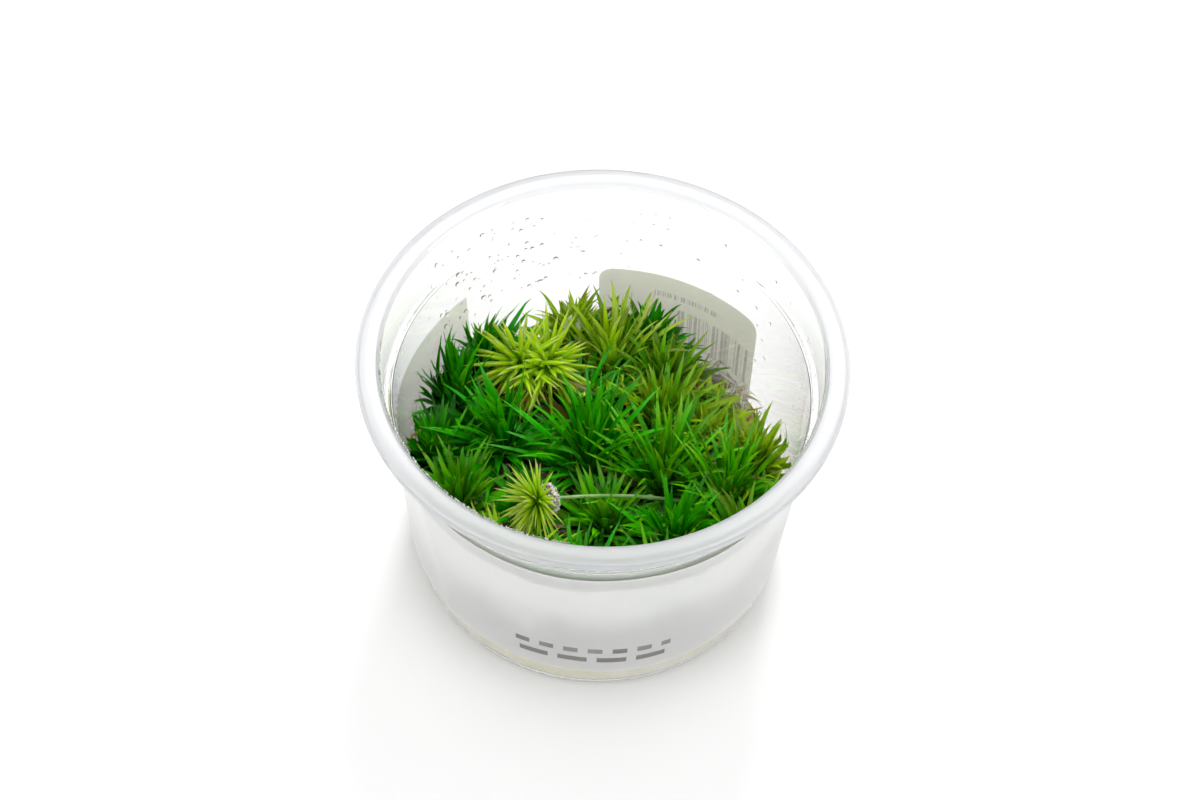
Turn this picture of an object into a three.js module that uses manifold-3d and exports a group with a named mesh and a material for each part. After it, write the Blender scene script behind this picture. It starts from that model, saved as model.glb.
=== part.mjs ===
// Seven-angle pipewort raised in tissue culture, in its clear round cup.
// Millimetres, +Z up. The origin is the centre of the cup's base, on the surface it stands on.
// -Y is the front of the cup, where the wide paper label is.
//
// The cup is one thin moulding: base with a standing ring, tapered wall, ledge, upright band
// and rim flange. Inside it lie the nutrient gel and a dense mat of small rosettes, each a
// plantlet of its own. A wide label is wrapped round the front and a small one sits at the back.

import * as THREE from 'three';
import { mergeVertices } from 'three/addons/utils/BufferGeometryUtils.js';
import Module from 'manifold-3d';

const wasm = await Module();
wasm.setup();

// Cup
const RIM_RADIUS = 50.5;
const CUP_HEIGHT = 67;
const WALL = 0.6;
const RIM_SKIRT = 1.8;
const LIP_RADIUS = 46.2;
const BAND_TOP_RADIUS = 45.4;
const BAND_FOOT_RADIUS = 45.0;
const LEDGE_RADIUS = 43.6;
const LEDGE_HEIGHT = 55.6;
const FOOT_RADIUS = 40.8;
const CORNER_RADIUS = 2.4;
const STANDING_RING_OUTER = 38.4;
const STANDING_RING_INNER = 35.2;
const PANEL_LIFT = 1.0;
const FLOOR_TOP = WALL;
const PANEL_TOP = PANEL_LIFT + WALL;
const RIM_EDGE = 0.4;
const LIP_DROP = 1.6;
const AROUND = 40;

// Nutrient gel
const GEL_TOP = 17.5;
const MENISCUS = 1.0;
const MENISCUS_WIDTH = 1.5;
const GAP = 0.35;

// Labels
const PAPER = 0.25;
const WRAP_BOTTOM = 9;
const WRAP_TOP = 51;
const WRAP_FROM_DEG = -135;
const WRAP_TO_DEG = 72;
const WRAP_SAG_TOP = 6.5;
const WRAP_SAG_BOTTOM = 1.5;
const WRAP_SAG_FROM_DEG = -45;
const WRAP_SAG_OVER_DEG = 60;
const BACK_LABEL = { azimuth: 154.5, height: 27.4, width: 40.8, tall: 29, corner: 3, tilt: -2.4 };

// Plantlets. A leaf is widest at its waist and bends at its elbow, both as shares of its own
// length or rise. The middle leaves stand at the straightest elevation, the outer ones lie at
// the flattest. A mark is a small sphere that others stay out of, and the leaves of one plantlet
// may meet below the bundle share of their length.
const LEAF_WIDTH = 3.0;
const LEAF_THICKNESS = 0.9;
const GOLDEN_ANGLE = 137.508;
const CROWN_RADIUS = 2.3;
const CROWN_FLOOR = GEL_TOP + GAP;
const TIP_CEILING = 44;
const STRAIGHTEST = 84;
const FLATTEST = 16;
const LEAVES = 19;
const MARKS = 16;
const MARK_RADIUS = 0.5;
const BUNDLE = 0.2;
const WAIST = 0.4;
const ELBOW_OUT = 0.45;
const ELBOW_UP = 0.62;
const SHORT_SHARE = 0.82;
const TURN_PER_X = 11;
const TURN_PER_Y = 7;

const DEEP_GREEN = 0x1f6b12;
const MID_GREEN = 0x3f8f1a;
const YELLOW_GREEN = 0x9dbf35;
const OLIVE_GREEN = 0x6f8a2a;

// Each plantlet: where its crown stands, how long its leaves are, how far they lean in x and
// y for each millimetre that they rise.
const PLANTLETS = [
  { name: 'plantlet_left_back', x: -33, y: 16, leaf: 23, lean: [0.1, 0.3], colour: DEEP_GREEN },
  { name: 'plantlet_left', x: -36, y: 1, leaf: 17, lean: [-0.1, 0.1], colour: DEEP_GREEN },
  { name: 'plantlet_left_inner', x: -21, y: 6, leaf: 22, lean: [-0.1, 0.1], colour: DEEP_GREEN },
  { name: 'plantlet_left_front', x: -30, y: -11, leaf: 19, lean: [-0.1, 0.1], colour: MID_GREEN },
  { name: 'plantlet_back_left', x: -27, y: 28, leaf: 19, lean: [0, 0.1], colour: DEEP_GREEN },
  { name: 'plantlet_back_inner_left', x: -7, y: 36, leaf: 18, lean: [0, 0.1], colour: OLIVE_GREEN },
  { name: 'plantlet_back', x: 2, y: 28, leaf: 22.5, lean: [0, 0.25], colour: YELLOW_GREEN },
  { name: 'plantlet_back_wall', x: 10, y: 34, leaf: 16, lean: [0, 0.1], colour: DEEP_GREEN },
  { name: 'plantlet_back_right', x: 14, y: 23, leaf: 20, lean: [0.05, 0.1], colour: DEEP_GREEN },
  { name: 'plantlet_inner_right', x: 13, y: 12, leaf: 23, lean: [0.2, 0.1], colour: MID_GREEN },
  { name: 'plantlet_right_back', x: 25, y: 19, leaf: 9, lean: [0.1, 0], colour: YELLOW_GREEN },
  { name: 'plantlet_right_inner', x: 24, y: 8.5, leaf: 17, lean: [0.15, 0.05], colour: MID_GREEN },
  { name: 'plantlet_centre', x: -2, y: 1, leaf: 26, lean: [0, 0.25], colour: DEEP_GREEN },
  { name: 'plantlet_centre_back', x: -6, y: 15, leaf: 21, lean: [0, 0.1], colour: DEEP_GREEN },
  { name: 'plantlet_centre_right', x: 14, y: -3, leaf: 24, lean: [0.1, 0.25], colour: MID_GREEN },
  { name: 'plantlet_right', x: 34, y: 1, leaf: 17, lean: [0, 0.1], colour: MID_GREEN },
  { name: 'plantlet_right_front', x: 28, y: -7, leaf: 22, lean: [0.1, 0.2], colour: DEEP_GREEN },
  { name: 'plantlet_right_corner', x: 33, y: -20, leaf: 21, lean: [0, 0.1], colour: MID_GREEN },
  { name: 'plantlet_front_inner_right', x: 17, y: -19, leaf: 20, lean: [0, 0], colour: DEEP_GREEN },
  { name: 'plantlet_front_inner', x: 2, y: -15, leaf: 18, lean: [0, 0], colour: MID_GREEN },
  { name: 'plantlet_front_inner_left', x: -15, y: -12, leaf: 14, lean: [0, 0], colour: DEEP_GREEN },
  { name: 'plantlet_front_left', x: -19, y: -27, leaf: 19, lean: [0, 0], colour: OLIVE_GREEN },
  { name: 'plantlet_front', x: -3, y: -33, leaf: 20, lean: [0, 0], colour: DEEP_GREEN },
  { name: 'plantlet_front_right', x: 15, y: -34, leaf: 20, lean: [0, 0], colour: MID_GREEN },
];

// The large pale rosette lies on top of the others and faces up and to the front.
const PALE_ROSETTE = {
  name: 'plantlet_pale', x: -15.5, y: 22.5, height: 31, facing: [0, -0.55, 0.83], leaf: 13, leaves: 30,
};
const PALE_STEM_RADIUS = 1.6;
const PALE_STEM_FOOT = 2.4;
const PALE_WIDEST = 100;

// A flower stalk grows from the plantlet right of the centre. It leans over to the left and
// ends in a button-like flower head, out of which a young tuft of leaves has sprouted.
const STALK_START = [18.5, -9, 26];
const STALK_BEND = [5, -12, 32];
const STALK_END = [-10.4, -15, 34.4];
const STALK_RADIUS = 0.55;
const STALK_JOINT_RADIUS = 0.95;
const HEAD_RADIUS = 2.6;
const TUFT = { facing: [-0.83, -0.45, 0.33], leaf: 10.5, leaves: 22 };
const TUFT_WIDEST = 78;
const STAR_NARROWEST = 12;
const STAR_LEAF_WIDTH = 2.3;
const TUFT_LEAF_WIDTH = 1.9;

const radians = (degrees) => THREE.MathUtils.degToRad(degrees);

// Solids of closed geometries, and back again.
function solidOf(geometry) {
  const shape = geometry.clone();
  shape.deleteAttribute('normal');
  shape.deleteAttribute('uv');
  const merged = mergeVertices(shape, 1e-4);
  return new wasm.Manifold(new wasm.Mesh({
    numProp: 3,
    vertProperties: Float32Array.from(merged.attributes.position.array),
    triVerts: Uint32Array.from(merged.index.array),
  }));
}

function geometryOf(solid) {
  const mesh = solid.getMesh();
  const geometry = new THREE.BufferGeometry();
  geometry.setAttribute('position', new THREE.BufferAttribute(mesh.vertProperties, 3));
  geometry.setIndex(new THREE.BufferAttribute(mesh.triVerts, 1));
  geometry.computeVertexNormals();
  return geometry;
}

function spun(profile, around) {
  const points = profile.map(([radius, height]) => new THREE.Vector2(radius, height));
  const geometry = new THREE.LatheGeometry(points, around);
  geometry.rotateX(Math.PI / 2);
  return geometry;
}

// Wall of the cup: the inner radius at a height between the corner and the ledge.
function innerRadius(height) {
  const foot = FLOOR_TOP + CORNER_RADIUS;
  const share = (height - foot) / (LEDGE_HEIGHT - foot);
  return FOOT_RADIUS + (LEDGE_RADIUS - FOOT_RADIUS) * THREE.MathUtils.clamp(share, 0, 1);
}
const outerRadius = (height) => innerRadius(height) + WALL;

// Points of a quarter round from straight down to straight out.
function corner(centreRadius, centreHeight, radius) {
  const points = [];
  for (let degrees = 0; degrees <= 90; degrees += 30) {
    const angle = radians(degrees);
    points.push([
      centreRadius + radius * Math.sin(angle),
      centreHeight - radius * Math.cos(angle),
    ]);
  }
  return points;
}

function cup() {
  const cornerHeight = FLOOR_TOP + CORNER_RADIUS;
  const outside = [
    [0, PANEL_LIFT],
    [STANDING_RING_INNER - PANEL_LIFT, PANEL_LIFT],
    [STANDING_RING_INNER, 0],
    ...corner(STANDING_RING_OUTER, cornerHeight, CORNER_RADIUS + WALL),
    [LEDGE_RADIUS + WALL, LEDGE_HEIGHT - WALL],
    [BAND_FOOT_RADIUS + WALL, LEDGE_HEIGHT - WALL],
    [BAND_TOP_RADIUS + WALL, CUP_HEIGHT - LIP_DROP],
    [LIP_RADIUS + WALL, CUP_HEIGHT - WALL],
    [RIM_RADIUS - WALL, CUP_HEIGHT - WALL],
    [RIM_RADIUS - WALL, CUP_HEIGHT - RIM_SKIRT],
    [RIM_RADIUS, CUP_HEIGHT - RIM_SKIRT],
    [RIM_RADIUS, CUP_HEIGHT - RIM_EDGE],
    [RIM_RADIUS - RIM_EDGE, CUP_HEIGHT],
  ];
  const inside = [
    [LIP_RADIUS, CUP_HEIGHT],
    [BAND_TOP_RADIUS, CUP_HEIGHT - LIP_DROP],
    [BAND_FOOT_RADIUS, LEDGE_HEIGHT],
    [LEDGE_RADIUS, LEDGE_HEIGHT],
    ...corner(STANDING_RING_OUTER, cornerHeight, CORNER_RADIUS).reverse(),
    [STANDING_RING_INNER, FLOOR_TOP],
    [STANDING_RING_INNER - PANEL_LIFT, PANEL_TOP],
    [0, PANEL_TOP],
  ];
  return spun([...outside, ...inside], AROUND);
}

// The gel fills the foot of the cup and creeps up the wall a little at its edge.
function gel() {
  const under = corner(STANDING_RING_OUTER, FLOOR_TOP + CORNER_RADIUS, CORNER_RADIUS - GAP);
  const edge = innerRadius(GEL_TOP) - GAP;
  return spun([
    [0, PANEL_TOP + GAP],
    [STANDING_RING_INNER - PANEL_LIFT + GAP, PANEL_TOP + GAP],
    [STANDING_RING_INNER + GAP, FLOOR_TOP + GAP],
    ...under,
    [edge, GEL_TOP + MENISCUS],
    [edge - MENISCUS_WIDTH, GEL_TOP],
    [0, GEL_TOP],
  ], AROUND);
}

// Point outside the cup's wall: azimuth is 0 at the front and grows towards +X.
function onWall(azimuth, height, lift) {
  const radius = outerRadius(height) + lift;
  return [radius * Math.sin(azimuth), -radius * Math.cos(azimuth), height];
}

// The wrapped label is one strip bent round the wall. It sags a little towards its left end.
function wrapLabel() {
  const span = WRAP_TO_DEG - WRAP_FROM_DEG;
  const steps = (span * AROUND) / 360;
  const geometry = new THREE.BoxGeometry(span, WRAP_TOP - WRAP_BOTTOM, PAPER, steps, 1, 1);
  const position = geometry.attributes.position;
  for (let i = 0; i < position.count; i += 1) {
    const degrees = position.getX(i) + (WRAP_TO_DEG + WRAP_FROM_DEG) / 2;
    const sagTo = WRAP_SAG_FROM_DEG - WRAP_SAG_OVER_DEG;
    const drop = position.getY(i) > 0 ? WRAP_SAG_TOP : WRAP_SAG_BOTTOM;
    const sag = drop * (1 - THREE.MathUtils.smoothstep(degrees, sagTo, WRAP_SAG_FROM_DEG));
    const height = position.getY(i) + (WRAP_TOP + WRAP_BOTTOM) / 2 - sag;
    const lift = position.getZ(i) + PAPER / 2 + GAP;
    position.setXYZ(i, ...onWall(radians(degrees), height, lift));
  }
  return geometry;
}

// A round-cornered rectangle is cut out of a thin shell that follows the wall.
function backLabel() {
  const { azimuth, height, width, tall, corner: round, tilt } = BACK_LABEL;
  const low = height - tall;
  const high = height + tall;
  const shell = spun([
    [outerRadius(low) + GAP, low],
    [outerRadius(low) + GAP + PAPER, low],
    [outerRadius(high) + GAP + PAPER, high],
    [outerRadius(high) + GAP, high],
    [outerRadius(low) + GAP, low],
  ], AROUND);

  const outline = new THREE.Shape();
  const half = width / 2;
  const rise = tall / 2;
  outline.moveTo(-half + round, -rise);
  outline.lineTo(half - round, -rise);
  outline.absarc(half - round, -rise + round, round, -Math.PI / 2, 0);
  outline.lineTo(half, rise - round);
  outline.absarc(half - round, rise - round, round, 0, Math.PI / 2);
  outline.lineTo(-half + round, rise);
  outline.absarc(-half + round, rise - round, round, Math.PI / 2, Math.PI);
  outline.lineTo(-half, -rise + round);
  outline.absarc(-half + round, -rise + round, round, Math.PI, Math.PI * 1.5);
  const punch = new THREE.ExtrudeGeometry(outline, { depth: 60, bevelEnabled: false, curveSegments: 4 });
  punch.rotateZ(radians(tilt));
  punch.rotateX(Math.PI / 2);
  punch.rotateZ(radians(azimuth));
  punch.translate(0, 0, height);
  return geometryOf(solidOf(shell).intersect(solidOf(punch)));
}

// A leaf grows out of one facet of a crown. It follows a curve to its fine point, and at its
// waist it is a flat keeled blade. All points are measured from the crown's centre.
function middleOf(facet) {
  const sum = new THREE.Vector3();
  facet.forEach((point) => sum.add(point));
  return sum.divideScalar(facet.length);
}

function waistOf(root, blade) {
  const curve = new THREE.QuadraticBezierCurve3(root, blade.bend, blade.tip);
  const along = curve.getTangent(WAIST);
  const across = new THREE.Vector3().crossVectors(blade.side, along).normalize();
  const side = new THREE.Vector3().crossVectors(along, across);
  return { waist: curve.getPoint(WAIST), along, across, side };
}

function drawnOut(facet, blade) {
  const root = middleOf(facet);
  const { waist, along, across, side } = waistOf(root, blade);
  const tilt = new THREE.Quaternion().setFromUnitVectors(root.clone().normalize(), along);
  const offsets = facet.map((point) => point.clone().sub(root).applyQuaternion(tilt));
  const widest = Math.max(...offsets.map((offset) => Math.abs(offset.dot(side))));
  const thickest = Math.max(...offsets.map((offset) => Math.abs(offset.dot(across))));
  const ring = offsets.map((offset) => (
    waist.clone()
      .addScaledVector(side, (offset.dot(side) / widest) * (blade.width / 2))
      .addScaledVector(across, (offset.dot(across) / thickest) * (LEAF_THICKNESS / 2))
  ));
  const points = [];
  for (let k = 0; k < 3; k += 1) {
    const next = (k + 1) % 3;
    points.push(facet[k], facet[next], ring[next]);
    points.push(facet[k], ring[next], ring[k]);
    points.push(ring[k], ring[next], blade.tip);
  }
  return points;
}

// A rosette is one closed body: a small round crown with a leaf on the facet nearest to the
// way that each leaf points.
function rosette(centre, blades) {
  const crown = new THREE.IcosahedronGeometry(CROWN_RADIUS, 1);
  const corners = crown.attributes.position;
  const free = [];
  for (let i = 0; i < corners.count; i += 3) {
    free.push([i, i + 1, i + 2].map((k) => new THREE.Vector3().fromBufferAttribute(corners, k)));
  }
  const points = [];
  for (const blade of blades) {
    const facing = (facet) => middleOf(facet).dot(blade.toward);
    free.sort((one, other) => facing(other) - facing(one));
    points.push(...drawnOut(free.shift(), blade));
  }
  points.push(...free.flat());
  const geometry = new THREE.BufferGeometry().setFromPoints(points);
  geometry.translate(...centre);
  return solidOf(geometry);
}

// What lies over the mat keeps the leaves below it clear: spheres at points along a line.
function alongLine(from, to, radius) {
  const start = new THREE.Vector3(...from);
  const end = new THREE.Vector3(...to);
  const count = Math.ceil(start.distanceTo(end) / radius) + 1;
  const spheres = [];
  for (let i = 0; i <= count; i += 1) {
    spheres.push({ centre: start.clone().lerp(end, i / count), radius });
  }
  return spheres;
}

const paleCentre = [PALE_ROSETTE.x, PALE_ROSETTE.y, PALE_ROSETTE.height];
const tuftCentre = STALK_END.map((value, axis) => value + TUFT.facing[axis] * HEAD_RADIUS);
const tuftMiddle = tuftCentre.map((value, axis) => value + TUFT.facing[axis] * TUFT.leaf * 0.35);
const paleFoot = [PALE_ROSETTE.x, PALE_ROSETTE.y, CROWN_FLOOR];
const OBSTACLES = [
  ...alongLine(paleFoot, paleCentre, PALE_STEM_FOOT + LEAF_THICKNESS),
  ...alongLine(STALK_START, STALK_BEND, 2.2),
  ...alongLine(STALK_BEND, STALK_END, 2.2),
  { centre: new THREE.Vector3(...tuftMiddle), radius: TUFT.leaf + 1.2 },
  { centre: new THREE.Vector3(...STALK_END), radius: HEAD_RADIUS + 1.8 },
  {
    centre: new THREE.Vector3(...paleCentre),
    radius: PALE_ROSETTE.leaf + 1.4,
    front: new THREE.Vector3(...PALE_ROSETTE.facing),
    back: 4.8,
  },
];

// A sphere with a front only takes up its front half and the stated depth behind its centre.
function isOutside(place, { centre, radius, front, back }) {
  const away = place.clone().sub(centre);
  return away.length() > radius || (front !== undefined && away.dot(front) < -back);
}

// Marks lie across a leaf's width, at steps from its root to its waist and on to its tip.
function marksOf(blade, centre) {
  const root = blade.toward.clone().multiplyScalar(CROWN_RADIUS);
  const { waist, side } = waistOf(root, blade);
  const marks = [];
  for (let step = 0; step <= MARKS; step += 1) {
    const share = step / MARKS;
    const rising = share / WAIST;
    const falling = (1 - share) / (1 - WAIST);
    const middle = rising < 1
      ? root.clone().lerp(waist, rising)
      : blade.tip.clone().lerp(waist, falling);
    const half = (blade.width / 2) * Math.min(rising, falling);
    for (const edge of [-1, 0, 1]) {
      const shift = edge * Math.max(half - MARK_RADIUS / 2, 0);
      marks.push({ place: middle.clone().addScaledVector(side, shift).add(centre), share });
    }
  }
  return marks;
}

// What stands already: the marks of one leaf or crown, inside a sphere that holds them all.
function standing(entry, marks) {
  const middle = middleOf(marks.map((mark) => mark.place));
  const reach = Math.max(...marks.map((mark) => mark.place.distanceTo(middle)));
  return { entry, marks, middle, reach };
}

function meets(leaf, other) {
  const same = leaf.entry === other.entry;
  const room = 2 * MARK_RADIUS + (same ? 0 : GAP);
  if (leaf.middle.distanceTo(other.middle) > leaf.reach + other.reach + room) return false;
  return leaf.marks.some((mark) => other.marks.some((there) => (
    (!same || (mark.share > BUNDLE && there.share > BUNDLE))
      && mark.place.distanceTo(there.place) < room
  )));
}

function isClear(leaf, stand) {
  const free = leaf.marks.every(({ place }) => (
    Math.hypot(place.x, place.y) < innerRadius(place.z) - GAP - MARK_RADIUS
      && OBSTACLES.every((obstacle) => isOutside(place, obstacle))
  ));
  return free && !stand.some((other) => meets(leaf, other));
}

// A crown's marks cover its round surface.
function crownMarks(entry) {
  const round = new THREE.IcosahedronGeometry(CROWN_RADIUS - MARK_RADIUS, 1).attributes.position;
  const marks = [];
  for (let i = 0; i < round.count; i += 1) {
    const place = new THREE.Vector3().fromBufferAttribute(round, i).add(crownCentre(entry));
    marks.push({ place, share: 0 });
  }
  return marks;
}

// The leaf that a plantlet would like to grow: upright in the middle and flatter outside, set
// round the crown by the golden angle. Reach draws it in and turn swings it aside.
function wishedBlade(entry, index, { reach, turn, size }) {
  const outwardShare = (index + 0.5) / LEAVES;
  const start = entry.x * TURN_PER_X + entry.y * TURN_PER_Y;
  const azimuth = radians(index * GOLDEN_ANGLE + start + turn);
  const elevation = radians(STRAIGHTEST + (FLATTEST - STRAIGHTEST) * outwardShare);
  const toward = new THREE.Vector3(
    Math.cos(azimuth) * Math.cos(elevation),
    Math.sin(azimuth) * Math.cos(elevation),
    Math.sin(elevation),
  );
  const swell = (1 - SHORT_SHARE) * Math.sin(Math.PI * outwardShare);
  const length = size * entry.leaf * (SHORT_SHARE + swell);
  const lift = length * toward.z;
  const dx = (toward.x * length + entry.lean[0] * lift) * reach;
  const dy = (toward.y * length + entry.lean[1] * lift) * reach;
  const rise = Math.sqrt(Math.max(length * length - dx * dx - dy * dy, 0));
  const side = new THREE.Vector3(-Math.sin(azimuth), Math.cos(azimuth), 0);
  const tip = new THREE.Vector3(dx, dy, Math.min(rise, TIP_CEILING - CROWN_FLOOR - CROWN_RADIUS));
  const bend = new THREE.Vector3(dx * ELBOW_OUT, dy * ELBOW_OUT, tip.z * ELBOW_UP);
  return { toward, side, bend, tip, width: LEAF_WIDTH };
}

const crownCentre = (entry) => new THREE.Vector3(entry.x, entry.y, CROWN_FLOOR + CROWN_RADIUS);

// The mat grows leaf by leaf, one from each plantlet in turn. A leaf that would meet another
// plantlet, the wall or what lies on the mat is tried more upright, turned or smaller.
function grownMat() {
  const tries = [];
  for (const size of [1, 0.75, 0.5]) {
    for (const reach of [1, 0.8, 0.6, 0.4, 0.2]) {
      for (const turn of [0, 14, -14]) tries.push({ reach, turn, size });
    }
  }
  const stand = PLANTLETS.map((entry) => standing(entry, crownMarks(entry)));
  const blades = new Map(PLANTLETS.map((entry) => [entry, []]));
  for (let index = 0; index < LEAVES; index += 1) {
    for (const entry of PLANTLETS) {
      const centre = crownCentre(entry);
      for (const trial of tries) {
        const blade = wishedBlade(entry, index, trial);
        const leaf = standing(entry, marksOf(blade, centre));
        if (isClear(leaf, stand)) {
          stand.push(leaf);
          blades.get(entry).push(blade);
          break;
        }
      }
    }
  }
  return blades;
}

// Leaves that spread like a star round a facing direction, for the two rosettes that lie on
// top of the mat. The outermost leaves bend back behind the crown.
function starBlades({ facing, leaf, leaves }, width, widest) {
  const up = new THREE.Vector3(...facing).normalize();
  const turn = new THREE.Quaternion().setFromUnitVectors(new THREE.Vector3(0, 0, 1), up);
  const blades = [];
  for (let i = 0; i < leaves; i += 1) {
    const outwardShare = (i + 0.5) / leaves;
    const azimuth = radians(i * GOLDEN_ANGLE);
    const spread = radians(STAR_NARROWEST + (widest - STAR_NARROWEST) * outwardShare);
    const toward = new THREE.Vector3(
      Math.cos(azimuth) * Math.sin(spread),
      Math.sin(azimuth) * Math.sin(spread),
      Math.cos(spread),
    );
    const reach = CROWN_RADIUS + (leaf - CROWN_RADIUS) * (0.86 + 0.14 * Math.sin(i * 2.4));
    const tip = toward.clone().multiplyScalar(reach);
    tip.z -= reach * 0.12 * outwardShare;
    const bend = toward.clone().multiplyScalar(reach * 0.6);
    bend.z += reach * 0.06;
    const side = new THREE.Vector3(-Math.sin(azimuth), Math.cos(azimuth), 0);
    for (const vector of [toward, tip, bend, side]) vector.applyQuaternion(turn);
    blades.push({ toward, side, bend, tip, width });
  }
  return blades;
}

function paleRosette() {
  const { x, y, height } = PALE_ROSETTE;
  const stem = new THREE.CylinderGeometry(
    PALE_STEM_RADIUS,
    PALE_STEM_FOOT,
    height - CROWN_FLOOR,
    7,
  );
  stem.rotateX(Math.PI / 2);
  stem.translate(x, y, (height + CROWN_FLOOR) / 2);
  const star = rosette(paleCentre, starBlades(PALE_ROSETTE, STAR_LEAF_WIDTH, PALE_WIDEST));
  return geometryOf(star.add(solidOf(stem)));
}

function tube(points, radius, steps) {
  const section = new THREE.Shape();
  section.absarc(0, 0, radius, 0, Math.PI * 2);
  const path = new THREE.CatmullRomCurve3(points.map((point) => new THREE.Vector3(...point)));
  return new THREE.ExtrudeGeometry(section, { steps, extrudePath: path, curveSegments: 3 });
}

function flowerStalk() {
  const stalk = tube([STALK_START, STALK_BEND, STALK_END], STALK_RADIUS, 8);
  const jointPlace = new THREE.Vector3(...STALK_START).lerp(new THREE.Vector3(...STALK_BEND), 0.62);
  const joint = new THREE.SphereGeometry(STALK_JOINT_RADIUS, 6, 4);
  joint.translate(...jointPlace.toArray());
  const head = new THREE.SphereGeometry(HEAD_RADIUS, 8, 6);
  head.translate(...STALK_END);
  const tuft = rosette(tuftCentre, starBlades(TUFT, TUFT_LEAF_WIDTH, TUFT_WIDEST));
  return geometryOf(tuft.add(solidOf(head)).add(solidOf(stalk)).add(solidOf(joint)));
}

function named(name, geometry, colour, roughness) {
  const material = new THREE.MeshStandardMaterial({ color: colour, roughness, metalness: 0 });
  const mesh = new THREE.Mesh(geometry, material);
  mesh.name = name;
  return mesh;
}

const pot = new THREE.Group();
pot.add(named('cup', cup(), 0xf1f3f2, 0.1));
pot.add(named('gel', gel(), 0xc9c8b4, 0.3));
pot.add(named('wrap_label', wrapLabel(), 0xe6e5e2, 0.6));
pot.add(named('back_label', backLabel(), 0xcfd3c8, 0.6));
for (const [entry, blades] of grownMat()) {
  const body = geometryOf(rosette(crownCentre(entry), blades));
  pot.add(named(entry.name, body, entry.colour, 0.45));
}
pot.add(named(PALE_ROSETTE.name, paleRosette(), YELLOW_GREEN, 0.45));
pot.add(named('flower_stalk', flowerStalk(), YELLOW_GREEN, 0.45));

export default pot;
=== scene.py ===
"""Seven-angle pipewort raised in tissue culture, in its clear round cup.

Sizes in this file are millimetres unless a name says otherwise. They become metres where a
piece is finished, in the frame's own axes: +Z up, -Y the front of the cup, origin at the
centre of its base.
"""

import math
import random

import bmesh
import bpy
from bpy.props import FloatProperty, FloatVectorProperty, IntProperty, PointerProperty
from mathutils import Matrix, Vector


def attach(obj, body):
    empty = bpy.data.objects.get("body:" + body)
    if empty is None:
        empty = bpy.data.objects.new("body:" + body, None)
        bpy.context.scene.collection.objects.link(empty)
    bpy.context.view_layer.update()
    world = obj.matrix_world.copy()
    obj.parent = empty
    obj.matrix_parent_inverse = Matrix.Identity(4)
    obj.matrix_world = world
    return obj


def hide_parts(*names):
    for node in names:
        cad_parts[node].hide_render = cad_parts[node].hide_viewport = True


bl_info = {
    "name": "Pipewort Culture Cup",
    "version": (1, 0, 0),
    "blender": (4, 5, 0),
    "location": "3D View > Sidebar > Pipewort",
    "description": "Builds a clear culture cup with a mat of pipewort rosettes in nutrient gel",
    "category": "Object",
}

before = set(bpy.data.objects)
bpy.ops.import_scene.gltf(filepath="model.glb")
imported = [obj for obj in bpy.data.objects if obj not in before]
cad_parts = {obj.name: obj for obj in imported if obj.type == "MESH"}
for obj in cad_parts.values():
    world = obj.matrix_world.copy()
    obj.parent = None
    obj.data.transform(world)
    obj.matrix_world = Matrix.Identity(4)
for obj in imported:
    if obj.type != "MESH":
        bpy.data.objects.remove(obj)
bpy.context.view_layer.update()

MM = 0.001
UP = Vector((0, 0, 1))

# Cup, as in the solids: rim, lip, band above the ledge, wall, and the ring that it stands on
RIM_RADIUS = 50.5
CUP_HEIGHT = 67.0
WALL = 0.6
RIM_SKIRT = 1.8
LIP_RADIUS = 46.2
LIP_DROP = 1.6
BAND_TOP_RADIUS = 45.4
BAND_FOOT_RADIUS = 45.0
LEDGE_RADIUS = 43.6
LEDGE_HEIGHT = 55.6
FOOT_RADIUS = 40.8
CORNER_RADIUS = 2.4
ROUNDING = 0.4
ROUNDING_MIDDLE = 0.12
LEDGE_ROUNDING = 0.5
RIM_ROUNDING = 0.3
SMALL_ROUNDING = 0.2
RING_OUTER = 38.4
RING_INNER = 35.2
PANEL_LIFT = 1.0
FLOOR_TOP = WALL
PANEL_TOP = PANEL_LIFT + WALL
CORNER_HEIGHT = FLOOR_TOP + CORNER_RADIUS

# Gel, and the part of its top that is painted dark under the plants: old roots, and painted shade
# of the plants above
GEL_TOP = 17.5
MENISCUS = 1.2
MENISCUS_WIDTH = 1.5
MENISCUS_BEND = 0.5
GAP = 0.35
GEL_RINGS = 16
GEL_SWELL = 0.35
SHADE_AND_ROOTS_TO = 38.0
SHADE_AND_ROOTS_END = 42.0
SHADE_AND_ROOTS_RAGGED = 8.0
SHADE_AND_ROOTS_DEPTH = 1.2

# Labels
PAPER = 0.2
WRAP_BOTTOM = 9.0
WRAP_TOP = 51.0
WRAP_FROM = -135.0
WRAP_TO = 72.0
WRAP_SAG_TOP = 6.5
WRAP_SAG_BOTTOM = 1.5
WRAP_SAG_FROM = -45.0
WRAP_SAG_OVER = 60.0
WRAP_RIPPLE = 0.12
CREASE_AZIMUTH = -47.0
CREASE_HEIGHT = 0.35
WRAP_GRID = (150, 16)
BACK_AZIMUTH = 154.5
BACK_HEIGHT = 27.4
BACK_WIDTH = 40.8
BACK_TALL = 29.0
BACK_CORNER = 3.0
BACK_TILT = -2.4
BACK_GRID = (28, 20)
PAPER_DEPTH = 2.5
GUM_STRENGTH = 0.6
GUM_DEPTH = 1.4

# Where the plain bars are, in centimetres on the flat label: left, right, foot and top
WORDS_BOX = (-1.7, 1.7, 1.26, 2.1)
BARS_BOX = (-1.85, 0.2, -0.65, 0.45)
MARKS_BOX = (-0.95, 0.75, 0.76, 0.92)

# Angles past which an edge stays sharp
HARD_ANGLE = 35.0
LEAF_ANGLE = 50.0
SOFT_ANGLE = 60.0
WATER_ANGLE = 80.0

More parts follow.
